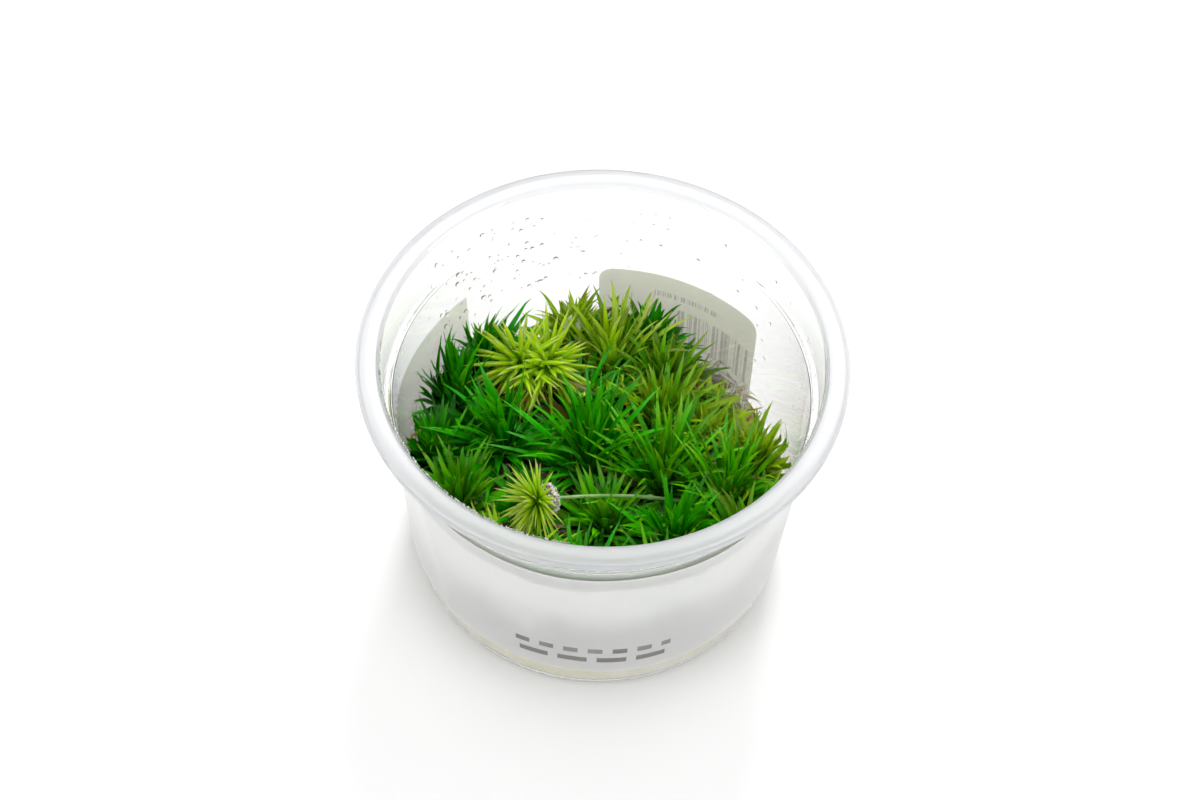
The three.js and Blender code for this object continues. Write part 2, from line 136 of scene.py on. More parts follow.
# Rosettes
CROWN_RADIUS = 2.3
CROWN_HEIGHT = GEL_TOP + GAP + CROWN_RADIUS
TIP_CEILING = 45.0
GOLDEN_ANGLE = 137.508
STRAIGHTEST = 86.0
FLATTEST = 4.0
ELBOW_OUT = 0.45
ELBOW_UP = 0.62
TURN_PER_X = 11.0
TURN_PER_Y = 7.0
LEAF_STEPS = 9
WIDEST_AT = 0.3
GREENEST_AT = 0.4
LEAF_TROUGH = 0.16
SHORTER = (1.0, 0.8, 0.6, 0.45)
DYING_SHARE = 0.88
DYING_CHANCE = 0.5

# How the leaves of a rosette differ: ranges of turn, rise in degrees, length, sway, colour
# kind, further kind at the point, and width
TURNS = (-0.3, 0.3)
RISES = (-10, 10)
LENGTHS = (0.72, 1.14)
SWAYS = (-0.16, 0.16)
KINDS = (-0.12, 0.09)
POINTS = (0, 0.15)
WIDTHS = (0.75, 1.1)

# Kinds of leaf colour: the first number of a leaf's blade attribute says which.
DEEP, MID, OLIVE, YELLOW, CREAM, DEAD = 0.0, 0.2, 0.4, 0.6, 0.8, 1.0

# Each plantlet: where its crown stands, how long its leaves are, how far they lean in x and y
# for each millimetre that they rise, its kind of colour, and how far that goes to a paler one. On
# the right-hand plantlets that paler colour is partly painted highlight, for their glints.
PLANTLETS = {
    "left_back": (-33, 16, 23, 0.1, 0.3, DEEP, 0),
    "left": (-36, 1, 17, -0.1, 0.1, DEEP, 0),
    "left_inner": (-21, 6, 22, -0.1, 0.1, DEEP, 0),
    "left_front": (-30, -11, 18, -0.1, 0.05, MID, 0),
    "back_left": (-27, 28, 19, 0, 0.1, DEEP, 0),
    "back_inner_left": (-7, 36, 18, 0, 0.1, OLIVE, 0.15),
    "back": (2, 28, 22.5, 0, 0.25, YELLOW, 0),
    "back_wall": (10, 34, 16, 0.0, 0.1, DEEP, 0),
    "back_right": (14, 23, 18, 0, 0.1, DEEP, 0.33),
    "inner_right": (13, 12, 21, 0.1, 0.1, MID, 0.15),
    "right_back": (25, 19, 8, 0.1, 0, YELLOW, 0),
    "right_inner": (24, 8.5, 15, 0.05, 0, MID, 0.33),
    "centre": (-2, 1, 26, 0, 0.25, DEEP, 0),
    "centre_back": (-6, 15, 21, 0, 0.1, DEEP, 0),
    "centre_right": (14, -3, 24, 0.1, 0.25, MID, 0),
    "right": (34, 1, 17, 0, 0.1, MID, 0.28),
    "right_front": (28, -7, 22, 0.1, 0.2, DEEP, 0.15),
    "right_corner": (33, -20, 21, 0, 0.1, MID, 0.08),
    "front_inner_right": (17, -19, 20, 0, 0, DEEP, 0),
    "front_inner": (2, -15, 18, 0, 0, MID, 0),
    "front_inner_left": (-15, -12, 14, -0.3, -0.1, DEEP, 0),
    "front_left": (-19, -27, 19, 0, 0, OLIVE, 0.12),
    "front": (-3, -33, 20, 0, 0, DEEP, 0),
    "front_right": (15, -34, 20, 0, 0, MID, 0),
}

# Pale rosette on top of the mat, with two growing points
PALE_CENTRE = Vector((-15.5, 22.5, 31.0))
PALE_FACING = Vector((0, -0.55, 0.83)).normalized()
PALE_POINTS = (-3.3, 3.2)
PALE_LEAF = 13.5
PALE_UNDERSIDE = -4
FOOT_LEAVES = 9
FOOT_LEAF_WIDTH = 1.3
FOOT_LEAF_THICKNESS = 0.9
FOOT_SHADE = 0.3

# Flower stalk, its head and the tuft of leaves that sprouts from the head
STALK_START = Vector((18.5, -9.0, 26.0))
STALK_BEND = Vector((5.0, -12.0, 32.0))
STALK_END = Vector((-10.4, -15.0, 34.4))
STALK_RADIUS = 0.42
STALK_STEPS = 40
STALK_JOINT = 0.28
JOINT_LENGTH = 0.018
JOINT_THICKER = 0.8
STALK_ROOM = 1.9
HEAD_RADIUS = 3.5
HEAD_THICKNESS = 3.0
BRACTS = 130
BRACT_RADIUS = 0.42
BRACT_LENGTH = 1.5
BRACT_SIZES = (0.65, 1.25)
BRACT_SEAT = 0.86
HEAD_CORE = 0.8
TUFT_FACING = Vector((-0.83, -0.45, 0.33)).normalized()
TUFT_LEAF = 9.5

# Leaves that spread like a star: how long they are, how many, through how many degrees they
# spread, how wide and thick they are, and their colour
PALE_STAR = (PALE_LEAF, 86, 120, 1.15, 0.24, YELLOW)
TUFT_STAR = (TUFT_LEAF, 128, 100, 0.95, 0.22, YELLOW + 0.05)

# How those leaves differ: the same ranges, and how far they droop. Their base is greener.
STAR_TURNS = (-0.35, 0.35)
STAR_RISES = (-12, 12)
STAR_LENGTHS = (0.72, 1.12)
STAR_DROOPS = (0.1, 0.4)
STAR_WIDTHS = (0.75, 1.15)
STAR_KINDS = (0, 0.1)
STAR_POINTS = (0.08, 0.25)
STAR_SHADES = (0.7, 1)
STAR_CLOSEST = 6
BASE_GREENER = 0.42

# How much light each kind of living leaf lets through
GLOW = {"living_leaf": 0.25, "pale_leaf": 0.7, "tuft_leaf": 0.8}

# Seeds of the random draws
PALE_SEED = 7
STALK_SEED = 11
LITTER_SEED = 31
DROPLET_SEED = 23

# Old roots, young roots and dead leaves, all in clumps: where a clump is, how far it spreads,
# how many strands it has and how long they are
ROOT_CLUMPS = (
    (22.5, 19.0, 22.5, 4.0, 70, 6.0),
    (35.0, 19.0, 19.5, 1.5, 14, 6.0),
    (17.0, 30.0, 22.0, 2.0, 16, 4.0),
    (-15.5, 18.0, 27.0, 2.5, 24, 6.0),
)
DEAD_CLUMPS = (
    (-33.5, -2.5, 23.0, 3.5, 16, 8.0),
    (-23.5, -12.0, 24.0, 3.0, 10, 8.0),
    (22.0, 17.0, 25.0, 3.5, 8, 8.0),
    (30.0, 1.0, 28.0, 5.0, 6, 9.0),
)
PALE_ROOT_CLUMPS = (
    (30.0, 24.5, 21.0, 2.8, 60, 6.0),
    (24.5, 29.0, 21.5, 2.2, 26, 5.0),
)
CLUMP_RISE = 1.5
ROOT_WIDTH = 0.4
PALE_ROOT_WIDTH = 0.7
DEAD_WIDTH = 1.5
STRAND_RISES = (-0.15, 0.35)
STRAND_LENGTHS = (0.6, 1.2)
STRAND_WIDTHS = (0.6, 1.1)
DRY_THICKNESS = 0.25

# Single dry leaves: where each starts and ends, how wide and how pale it is
DRY_LEAVES = (
    ((-9.2, 34.2, 30.0), (-6.6, 36.1, 34.0), 1.3, 1.0),
    ((-6.6, 36.1, 34.0), (-5.2, 32.0, 27.0), 1.3, 1.0),
    ((-8.4, 19.8, 29.5), (-0.3, 15.4, 29.5), 1.2, 0.25),
    ((26.8, 9.0, 29.0), (21.8, 4.4, 28.0), 0.9, 0.7),
)

# Condensation: share of the droplets, then the ranges of azimuth, height and radius
DROP_ZONES = (
    (0.2, (185, 238), (38, 62), (0.25, 0.7)),
    (0.07, (140, 185), (40, 60), (0.2, 0.5)),
    (0.05, (95, 140), (30, 60), (0.2, 0.45)),
    (0.06, (-130, -95), (36, 60), (0.14, 0.4)),
    (0.62, (-88, -6), (65.7, 66.7), (0.14, 0.32)),
)
DROP_TALL = 1.2
DROP_DEEP = 0.9
FOG_REACH = 80.0
FOG_HEIGHT = 51.5
FOG_TALL = 8.5
FOG_RAGGED = 0.4
FOG_THICKNESS = 0.05
FOG_GRID = (120, 10)

# Floor and lights, in metres and watts: each light's place, size and power
FLOOR_SIZE = 6.0
SKY_STRENGTH = 0.96
LIGHTS = {
    "key_softbox": ((0.1, 0.6, 0.82), 0.27, 4.6),
    "front_softbox": ((0.1, -0.9, 0.32), 1.0, 0.8),
    "left_softbox": ((-0.85, -0.4, 0.2), 0.7, 2.8),
    "right_softbox": ((0.95, -0.4, 0.2), 0.7, 3.6),
}
LIT_POINT = Vector((0, 0, 0.03))

# Camera, fitted to the photograph's outlines of the rim, the ledge and the base
IMAGE_WIDTH = 1200.0
IMAGE_HEIGHT = 800.0
FOCAL_PX = 1958.0
CAMERA_DISTANCE = 400.0
CAMERA_ELEVATION = 53.09
CAMERA_ROLL = -2.19
RIM_PX = (601.5, 352.7)
SENSOR = 36.0


class PipewortSizes(bpy.types.PropertyGroup):
    """Sizes and counts that a user would change."""

    around: IntProperty(
        name="Steps Around", description="Segments round the cup and the gel", default=192, min=24)
    leaves: IntProperty(
        name="Leaves", description="Leaves of each rosette", default=126, min=8)
    leaf_width: FloatProperty(
        name="Leaf Width", description="Greatest width of a leaf", default=1.8 * MM,
        unit="LENGTH", precision=4)
    leaf_thickness: FloatProperty(
        name="Leaf Thickness", description="Thickness of a leaf at its midrib",
        default=0.3 * MM, unit="LENGTH", precision=5)
    droplets: IntProperty(
        name="Droplets", description="Condensation droplets on the wall", default=500, min=0)


def linear(hex_colour):
    """Linear RGBA of an sRGB hex colour."""
    parts = [int(hex_colour[i:i + 2], 16) / 255 for i in (1, 3, 5)]
    turned = [p / 12.92 if p <= 0.04045 else ((p + 0.055) / 1.055) ** 2.4 for p in parts]
    return (*turned, 1.0)


def colour_property(name, description, hex_colour):
    """A colour that a user can pick."""
    return FloatVectorProperty(
        name=name, description=description, subtype="COLOR", size=4, min=0.0, max=1.0,
        default=linear(hex_colour))


class PipewortColours(bpy.types.PropertyGroup):
    """Colours that a user would change."""

    plastic: colour_property("Clear Plastic", "Tint of the cup", "#ffffff")
    gel: colour_property("Gel", "Nutrient gel", "#fbf7d2")
    label: colour_property("Label Face", "Printed side of the labels", "#f2f0ee")
    gum: colour_property("Label Back", "Gummed side of the labels", "#cbcab5")
    ink: colour_property("Ink", "Plain bars on the labels", "#6c6a64")
    deep: colour_property("Deep Green", "Shaded grown leaves", "#27c404")
    mid: colour_property("Mid Green", "Younger leaves", "#6cdc08")
    olive: colour_property("Olive Green", "Ageing leaves", "#9cc422")
    yellow: colour_property("Yellow Green", "Pale young leaves", "#d6ff1a")
    cream: colour_property("Cream", "Points of the palest leaves", "#fbffa0")
    dead: colour_property("Dead Leaf", "Brown and cream dead leaves", "#b3935a")
    stalk: colour_property("Flower Stalk", "Pale green stalk", "#9cc07c")
    floor: colour_property("Floor", "Floor of the stage", "#f1f1f1")


def sizes():
    """The scene's sizes."""
    return bpy.context.scene.pipewort_sizes


def colours():
    """The scene's colours."""
    return bpy.context.scene.pipewort_colours


# Materials

def add_node(tree, kind, inputs=None, **attributes):
    """A node with its settings. An input takes a plain value or another node's output."""
    node = tree.nodes.new(kind)
    for name, value in attributes.items():
        setattr(node, name, value)
    for name, value in (inputs or {}).items():
        if isinstance(value, bpy.types.NodeSocket):
            tree.links.new(value, node.inputs[name])
        else:
            node.inputs[name].default_value = value
    return node


def calc(tree, operation, *values):
    """The result of a maths node."""
    inputs = dict(enumerate(values))
    return add_node(tree, "ShaderNodeMath", inputs, operation=operation).outputs[0]


def product(tree, first, *others):
    """Values multiplied together."""
    for other in others:
        first = calc(tree, "MULTIPLY", first, other)
    return first


def mix(tree, factor, first, second, blend="MIX"):
    """A blend of two colours."""
    return add_node(tree, "ShaderNodeMix", {"Factor": factor, "A": first, "B": second},
                    data_type="RGBA", blend_type=blend).outputs["Result"]


def noise(tree, place, size_mm, detail=2.0):
    """Noise whose lumps are about this many millimetres across."""
    return add_node(tree, "ShaderNodeTexNoise", {
        "Vector": place, "Scale": 1 / (size_mm * MM), "Detail": detail}).outputs["Fac"]


def ramp(tree, source, stops):
    """A colour ramp over a value between 0 and 1. A stop's colour is sRGB hex or linear."""
    node = add_node(tree, "ShaderNodeValToRGB", {"Fac": source})
    elements = node.color_ramp.elements
    linear_stops = [(place, linear(colour) if isinstance(colour, str) else colour)
                    for place, colour in stops]
    elements[0].position, elements[0].color = linear_stops[0]
    elements[1].position, elements[1].color = linear_stops[-1]
    for place, colour in linear_stops[1:-1]:
        elements.new(place).color = colour
    return node.outputs["Color"]


def object_place(tree):
    """The place on the object, in metres."""
    return add_node(tree, "ShaderNodeTexCoord").outputs["Object"]


def coordinate(tree, vector, axis):
    """One coordinate of a vector."""
    return add_node(tree, "ShaderNodeSeparateXYZ", {"Vector": vector}).outputs[axis]


def new_material(name, **sockets):
    """A material with one Principled shader, its plain values set on its own sockets."""
    material = bpy.data.materials.new(name)
    material.use_nodes = True
    shader = material.node_tree.nodes["Principled BSDF"]
    for key, value in sockets.items():
        shader.inputs[key.replace("_", " ")].default_value = value
    return material, material.node_tree, shader


def coloured(tree, shader, colour):
    """Gives a shader its colour."""
    tree.links.new(colour, shader.inputs["Base Color"])


def bumped(tree, shader, height, strength, distance_mm):
    """Gives a shader its fine relief."""
    bump = add_node(tree, "ShaderNodeBump", {
        "Height": height, "Strength": strength, "Distance": distance_mm * MM})
    tree.links.new(bump.outputs["Normal"], shader.inputs["Normal"])


def grained(name, size_mm, strength, distance_mm, stops=None, detail=2.0, **sockets):
    """A material with one noise over the object, which gives its relief and, by a ramp, its
    tint."""
    material, tree, shader = new_material(name, **sockets)
    grain = noise(tree, object_place(tree), size_mm, detail)
    if stops:
        coloured(tree, shader, ramp(tree, grain, stops))
    bumped(tree, shader, grain, strength, distance_mm)
    return material


def clear_plastic():
    """Clarified polypropylene, injection moulded: clear with a slight milky haze and a soft,
    faintly rippled gloss."""
    return grained("clarified_polypropylene", 9, 0.015, 0.15, Base_Color=colours().plastic,
                   Roughness=0.05, IOR=1.49, Transmission_Weight=0.94)


def rim_plastic():
    """The same polypropylene in the rim flange, where it is thicker and lightly textured:
    milky, so that it looks almost white."""
    return grained("milky_polypropylene_rim", 0.5, 0.05, 0.1, Base_Color=linear("#e7e8ea"),
                   Roughness=0.4, IOR=1.49, Transmission_Weight=0.74)


def water():
    """Clean water in drops: clear, with a surface just uneven enough to break its glints."""
    return grained("water_drop", 0.4, 0.05, 0.05, Base_Color=linear("#ffffff"), Roughness=0.02,
                   IOR=1.33, Transmission_Weight=1.0)


def stalk_skin():
    """Flower stalk: pale, smooth and waxy, with a faint mottle."""
    return grained("flower_stalk_skin", 2, 0.15, 0.1, [(0.35, "#7fae5a"), (0.6, colours().stalk)],
                   Roughness=0.3, IOR=1.42)


def head_bracts():
    """Papery bracts with white hairs: matt and whitish, brown in the hollows."""
    return grained("flower_head_bracts", 0.7, 0.4, 0.2,
                   [(0.35, "#6f6253"), (0.48, "#cfc8bb"), (0.62, "#f8f6f0")], 3.0,
                   Roughness=0.6, Subsurface_Weight=0.2, Subsurface_Scale=0.5 * MM)


def gel_material():
    """Agar gel: cloudy, pale straw and wet. Its top is painted dark under the plants, for old
    roots and as painted shade of the plants above, and clean towards the wall, with a ragged edge
    between the two."""
    material, tree, shader = new_material(
        "agar_gel", Roughness=0.22, IOR=1.34, Transmission_Weight=0.06, Subsurface_Weight=0.45,
        Subsurface_Radius=(1.0, 1.0, 0.9), Subsurface_Scale=2.5 * MM)
    place = object_place(tree)
    cloud = noise(tree, place, 14, 3.0)
    clean = ramp(tree, cloud, [(0.3, "#efebbc"), (0.55, colours().gel), (0.75, "#fffdea")])
    level = add_node(tree, "ShaderNodeVectorMath", {0: place, 1: (1, 1, 0)}, operation="MULTIPLY")
    out = add_node(tree, "ShaderNodeVectorMath", {0: level.outputs[0]}, operation="LENGTH")
    ragged = calc(tree, "MULTIPLY_ADD", cloud, SHADE_AND_ROOTS_RAGGED * MM, out.outputs["Value"])
    shade_and_roots = add_node(tree, "ShaderNodeMapRange", {
        "Value": ragged, "From Min": SHADE_AND_ROOTS_TO * MM, "From Max": SHADE_AND_ROOTS_END * MM,
        "To Min": 1.0, "To Max": 0.0}).outputs["Result"]
    top = calc(tree, "GREATER_THAN", coordinate(tree, place, "Z"), (GEL_TOP - SHADE_AND_ROOTS_DEPTH) * MM)
    # Painted shade: dark olive on the top under the plants, for the shade they cast together with
    # their old roots
    coloured(tree, shader, mix(tree, product(tree, shade_and_roots, top), clean, linear("#39451c")))
    bumped(tree, shader, noise(tree, place, 3), 0.25, 0.5)
    return material


def paper(name, face, bars, strength=1.0, depth_mm=PAPER_DEPTH):
    """Coated label stock: satin white with a faint tooth, and plain grey bars where a label
    would be printed. The bars follow the label's own width and height in centimetres, and show
    only faintly on its gummed side. The depth is how far light spreads in the paper."""
    material, tree, shader = new_material(
        name, Roughness=0.45, Specular_IOR_Level=0.35, Subsurface_Weight=1.0,
        Subsurface_Radius=(1.0, 1.0, 1.0), Subsurface_Scale=depth_mm * MM)
    place = object_place(tree)
    darker = tuple(c * 0.94 for c in face[:3]) + (1.0,)
    colour = mix(tree, noise(tree, place, 18, 1.0), darker, face)
    if bars:
        colour = bars(tree, colour, colours().ink, strength)
    coloured(tree, shader, colour)
    bumped(tree, shader, noise(tree, place, 0.6), 0.06, 0.1)
    return material


def print_place(tree):
    """The place on the flat label, then its two coordinates."""
    uv = add_node(tree, "ShaderNodeUVMap", uv_map="print").outputs["UV"]
    return uv, coordinate(tree, uv, "X"), coordinate(tree, uv, "Y")


def in_box(tree, across, up, left, right, foot, top):
    """1 inside a box on the label, else 0."""
    return product(
        tree, calc(tree, "GREATER_THAN", across, left), calc(tree, "LESS_THAN", across, right),
        calc(tree, "GREATER_THAN", up, foot), calc(tree, "LESS_THAN", up, top))


def bars_of_words(tree, colour, ink, strength):
    """Two rows of plain bars of uneven length, as any printed label has from far off."""
    uv, across, up = print_place(tree)
    lighter = tuple(min(1.0, c * 1.6) for c in ink)
    bricks = add_node(tree, "ShaderNodeTexBrick", {
        "Vector": uv, "Scale": 1.0, "Color1": ink, "Color2": lighter, "Brick Width": 0.85,
        "Row Height": 0.42, "Mortar Size": 0.11, "Mortar Smooth": 0.05,
    }, offset=0.37, squash=0.62, squash_frequency=2)
    bar = calc(tree, "SUBTRACT", 1.0, bricks.outputs["Fac"])
    mask = product(tree, in_box(tree, across, up, *WORDS_BOX), bar, strength)
    return mix(tree, mask, colour, bricks.outputs["Color"])


def bars_upright(tree, colour, ink, strength):
    """A block of plain upright bars of uneven width under one row of small marks."""
    _, across, up = print_place(tree)
    masks = []
    for scale, box in ((12.0, BARS_BOX), (18.0, MARKS_BOX)):
        lines = add_node(tree, "ShaderNodeTexNoise", {
            "W": across, "Scale": scale, "Detail": 1.0}, noise_dimensions="1D").outputs["Fac"]
        dark = calc(tree, "GREATER_THAN", lines, 0.5)
        masks.append(product(tree, in_box(tree, across, up, *box), dark))
    return mix(tree, product(tree, calc(tree, "MAXIMUM", *masks), strength), colour, ink)


def leaf_material(name):
    """Living leaf: wet and glossy, pale at the base, deepest in the middle, straw-coloured at
    the point, with fine parallel veins. The blade attribute holds a leaf's colour kind, the
    share of its length and its shade."""
    material, tree, shader = new_material(
        name, Roughness=0.17, IOR=1.42, Specular_IOR_Level=0.42, Subsurface_Weight=GLOW[name],
        Subsurface_Radius=(1.0, 1.0, 0.4), Subsurface_Scale=0.5 * MM)
    blade = add_node(tree, "ShaderNodeAttribute", attribute_name="blade").outputs["Vector"]
    kind, share, shade = add_node(tree, "ShaderNodeSeparateXYZ", {"Vector": blade}).outputs
    palette = colours()
    body = ramp(tree, kind, [
        (DEEP, palette.deep), (MID, palette.mid), (OLIVE, palette.olive),
        (YELLOW, palette.yellow), (CREAM, palette.cream), (DEAD, palette.dead)])
    lengthwise = ramp(tree, share, [
        (0.0, "#e9edb4"), (0.14, "#dcef9a"), (0.42, "#f4fff0"), (0.8, "#ffffff"),
        (0.93, "#fffbe0"), (1.0, "#fff0c4")])
    light = ramp(tree, shade, [(0.0, "#97a78f"), (0.5, "#f0f5ec"), (1.0, "#ffffff")])
    uv = add_node(tree, "ShaderNodeUVMap", uv_map="veins").outputs["UV"]
    stretched = add_node(tree, "ShaderNodeMapping", {"Vector": uv, "Scale": (9.0, 1.2, 1.0)})
    veins = add_node(tree, "ShaderNodeTexNoise", {
        "Vector": stretched.outputs["Vector"], "Scale": 2.0, "Detail": 2.0}).outputs["Fac"]
    striped = ramp(tree, veins, [(0.35, "#a6bb9c"), (0.6, "#ffffff")])
    colour = mix(tree, 1.0, body, lengthwise, "MULTIPLY")
    colour = mix(tree, 1.0, colour, light, "MULTIPLY")
    coloured(tree, shader, mix(tree, 0.8, colour, striped, "MULTIPLY"))
    bumped(tree, shader, veins, 0.35, 0.15)
    return material


# Shapes

def clamped(value):
    """A value held between 0 and 1."""
    return min(max(value, 0.0), 1.0)


def blend(share, first, last):
    """The value at some share of the way from the first to the last."""
    return first + (last - first) * share


def inner_radius(height):
    """Inner radius of the cup's wall at a height, up to its ledge."""
    share = (height - CORNER_HEIGHT) / (LEDGE_HEIGHT - CORNER_HEIGHT)
    return blend(clamped(share), FOOT_RADIUS, LEDGE_RADIUS)


def upper_radius(height):
    """Inner radius of the cup at a height above its ledge."""
    band_top = CUP_HEIGHT - LIP_DROP
    if height > band_top:
        return blend((height - CUP_HEIGHT + LIP_DROP) / LIP_DROP, BAND_TOP_RADIUS,
                     LIP_RADIUS - SMALL_ROUNDING)
    return blend((height - LEDGE_HEIGHT) / (band_top - LEDGE_HEIGHT), BAND_FOOT_RADIUS,
                 BAND_TOP_RADIUS)


def round_axis(azimuth, radius, height):
    """Point round the cup's axis. Azimuth is 0 at the front and grows towards +X."""
    return Vector((radius * math.sin(azimuth), -radius * math.cos(azimuth), height))


def direction(azimuth, flat, rise):
    """A direction from its azimuth, 0 along +X, and how far it goes sideways and up."""
    return Vector((flat * math.cos(azimuth), flat * math.sin(azimuth), rise))


def quarter(centre_radius, centre_height, radius, steps=8):
    """Points of a quarter round from straight down to straight out."""
    angles = [math.radians(90 * i / steps) for i in range(steps + 1)]
    return [(centre_radius + radius * math.sin(a), centre_height - radius * math.cos(a))
            for a in angles]


def spun(profile, steps):
    """A closed body of revolution round the Z axis. The profile starts and ends on the axis."""
    bm = bmesh.new()
    verts = [bm.verts.new((radius, 0, height)) for radius, height in profile]
    edges = [bm.edges.new(pair) for pair in zip(verts, verts[1:])]
    bmesh.ops.spin(bm, geom=verts + edges, axis=(0, 0, 1), cent=(0, 0, 0), angle=math.tau,
                   steps=steps, use_merge=True)
    bmesh.ops.remove_doubles(bm, verts=bm.verts, dist=1e-4)
    bmesh.ops.recalc_face_normals(bm, faces=bm.faces)
    return bm


def flat_sheet(grid, wide=1.0, tall=1.0):
    """A flat sheet in the XY plane, its middle at the origin."""
    bm = bmesh.new()
    bmesh.ops.create_grid(bm, x_segments=grid[0], y_segments=grid[1], size=0.5)
    bmesh.ops.scale(bm, vec=(wide, tall, 1), verts=bm.verts)
    return bm


def rod(segments, radius, steps):
    """A closed rod along +Z, 1 long and cut into steps."""
    bm = bmesh.new()
    bmesh.ops.create_cone(bm, cap_ends=True, segments=segments, radius1=radius, radius2=radius,
                          depth=1.0)
    bmesh.ops.translate(bm, vec=(0, 0, 0.5), verts=bm.verts)
    long_edges = [e for e in bm.edges if abs(e.verts[0].co.z - e.verts[1].co.z) > 0.5]
    bmesh.ops.subdivide_edges(bm, edges=long_edges, cuts=steps - 1)
    return bm


def as_mesh(name, bm):
    """Turns a shape into a mesh and frees the shape."""
    mesh = bpy.data.meshes.new(name)
    bm.to_mesh(mesh)
    bm.free()
    return mesh


def ball_template(name, around, rings, radius):
    """One small ball, to be copied many times."""
    bm = bmesh.new()
    bmesh.ops.create_uvsphere(bm, u_segments=around, v_segments=rings, radius=radius)
    return as_mesh(name, bm)


def add_copy(bm, template):
    """Adds a copy of a mesh to a shape and returns its points."""
    start = len(bm.verts)
    bm.from_mesh(template)
    bm.verts.ensure_lookup_table()
    return bm.verts[start:]


def map_corners(bm, name, place):
    """Gives every face corner its place on a flat map, worked out from its point."""
    layer = bm.loops.layers.uv.new(name)
    for face in bm.faces:
        for loop in face.loops:
            loop[layer].uv = place(loop.vert.co)


def new_object(name, data):
    """Adds an object to the scene."""
    item = bpy.data.objects.new(name, data)
    bpy.context.scene.collection.objects.link(item)
    return item


def finish_piece(name, bm, materials, nodes=(), sharp_deg=HARD_ANGLE):
    """Turns a shape in millimetres into a piece of the object that stands for CAD nodes."""
    bmesh.ops.scale(bm, vec=(MM, MM, MM), verts=bm.verts)
    mesh = as_mesh(name, bm)
    for material in materials:
        mesh.materials.append(material)
    mesh.shade_smooth()
    mesh.set_sharp_from_angle(angle=math.radians(sharp_deg))
    piece = new_object(name, mesh)
    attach(piece, "root")
    if nodes:
        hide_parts(*nodes)
    return piece


def add_cup():
    """The clear cup: one closed body of revolution."""
    wall = LEDGE_RADIUS + WALL
    band = BAND_FOOT_RADIUS + WALL
    under_ledge = LEDGE_HEIGHT - WALL
    under_rim = CUP_HEIGHT - WALL
    skirt = RIM_RADIUS - WALL
    outside = [
        (0, PANEL_LIFT),
        (RING_INNER - PANEL_LIFT, PANEL_LIFT),
        (RING_INNER - SMALL_ROUNDING, SMALL_ROUNDING / 2),
        (RING_INNER + SMALL_ROUNDING, 0),
        *quarter(RING_OUTER, CORNER_HEIGHT, CORNER_RADIUS + WALL),
        (wall, under_ledge - LEDGE_ROUNDING),
        (wall + ROUNDING, under_ledge),
        (band - ROUNDING, under_ledge),
        (band, under_ledge + ROUNDING),
        (BAND_TOP_RADIUS + WALL, CUP_HEIGHT - LIP_DROP),
        (LIP_RADIUS + WALL - RIM_ROUNDING, under_rim - SMALL_ROUNDING),
        (LIP_RADIUS + WALL + RIM_ROUNDING, under_rim),
        (skirt - RIM_ROUNDING, under_rim),
        (skirt, under_rim - RIM_ROUNDING),
        (skirt, CUP_HEIGHT - RIM_SKIRT),
        (RIM_RADIUS, CUP_HEIGHT - RIM_SKIRT),
        (RIM_RADIUS, CUP_HEIGHT - ROUNDING),
        (RIM_RADIUS - ROUNDING_MIDDLE, CUP_HEIGHT - ROUNDING_MIDDLE),
        (RIM_RADIUS - ROUNDING, CUP_HEIGHT),
    ]
    inside = [
        (LIP_RADIUS + RIM_ROUNDING, CUP_HEIGHT),
        (LIP_RADIUS - SMALL_ROUNDING, CUP_HEIGHT - RIM_ROUNDING),
        (BAND_TOP_RADIUS, CUP_HEIGHT - LIP_DROP),
        (BAND_FOOT_RADIUS, LEDGE_HEIGHT + LEDGE_ROUNDING),
        (BAND_FOOT_RADIUS - ROUNDING, LEDGE_HEIGHT),
        (LEDGE_RADIUS + ROUNDING, LEDGE_HEIGHT),
        (LEDGE_RADIUS, LEDGE_HEIGHT - ROUNDING),
        *reversed(quarter(RING_OUTER, CORNER_HEIGHT, CORNER_RADIUS)),
        (RING_INNER, FLOOR_TOP),
        (RING_INNER - PANEL_LIFT, PANEL_TOP),
        (0, PANEL_TOP),
    ]
    bm = spun([*outside, *inside], sizes().around)
    for face in bm.faces:
        middle = face.calc_center_median()
        face.material_index = int(math.hypot(middle.x, middle.y) > LIP_RADIUS - 0.1)
    finish_piece("clear_cup", bm, [clear_plastic(), rim_plastic()], ["cup"])


class PIPEWORT_OT_cup(bpy.types.Operator):
    """Add the clear cup with its standing ring, ledge, band and rim flange"""

    bl_idname = "pipewort.cup"
    bl_label = "Add Clear Cup"

    def execute(self, context):
        add_cup()
        return {"FINISHED"}


def add_gel():
    """The slab of gel: it creeps up the wall, and its top is uneven."""
    edge = inner_radius(GEL_TOP) - GAP
    level = edge - MENISCUS_WIDTH
    top = [(edge, GEL_TOP + MENISCUS), (edge - MENISCUS_BEND, GEL_TOP + MENISCUS_BEND),
           (level, GEL_TOP)]
    top += [(level * (1 - i / GEL_RINGS), GEL_TOP) for i in range(1, GEL_RINGS + 1)]
    bm = spun([
        (0, PANEL_TOP + GAP),
        (RING_INNER - PANEL_LIFT + GAP, PANEL_TOP + GAP),
        (RING_INNER + GAP, FLOOR_TOP + GAP),
        *quarter(RING_OUTER, CORNER_HEIGHT, CORNER_RADIUS - GAP),
        *top,
    ], sizes().around)
    for vert in bm.verts:
        if vert.co.z > GEL_TOP - 0.01:
            swell = math.sin(vert.co.x / 5.1 + 1) * math.cos(vert.co.y / 4.3)
            vert.co.z += GEL_SWELL * swell - GEL_SWELL
    finish_piece("nutrient_gel", bm, [gel_material()], ["gel"], SOFT_ANGLE)


class PIPEWORT_OT_gel(bpy.types.Operator):
    """Add the slab of nutrient gel with its creeping edge and uneven top"""

    bl_idname = "pipewort.gel"
    bl_label = "Add Nutrient Gel"

    def execute(self, context):
        add_gel()
        return {"FINISHED"}


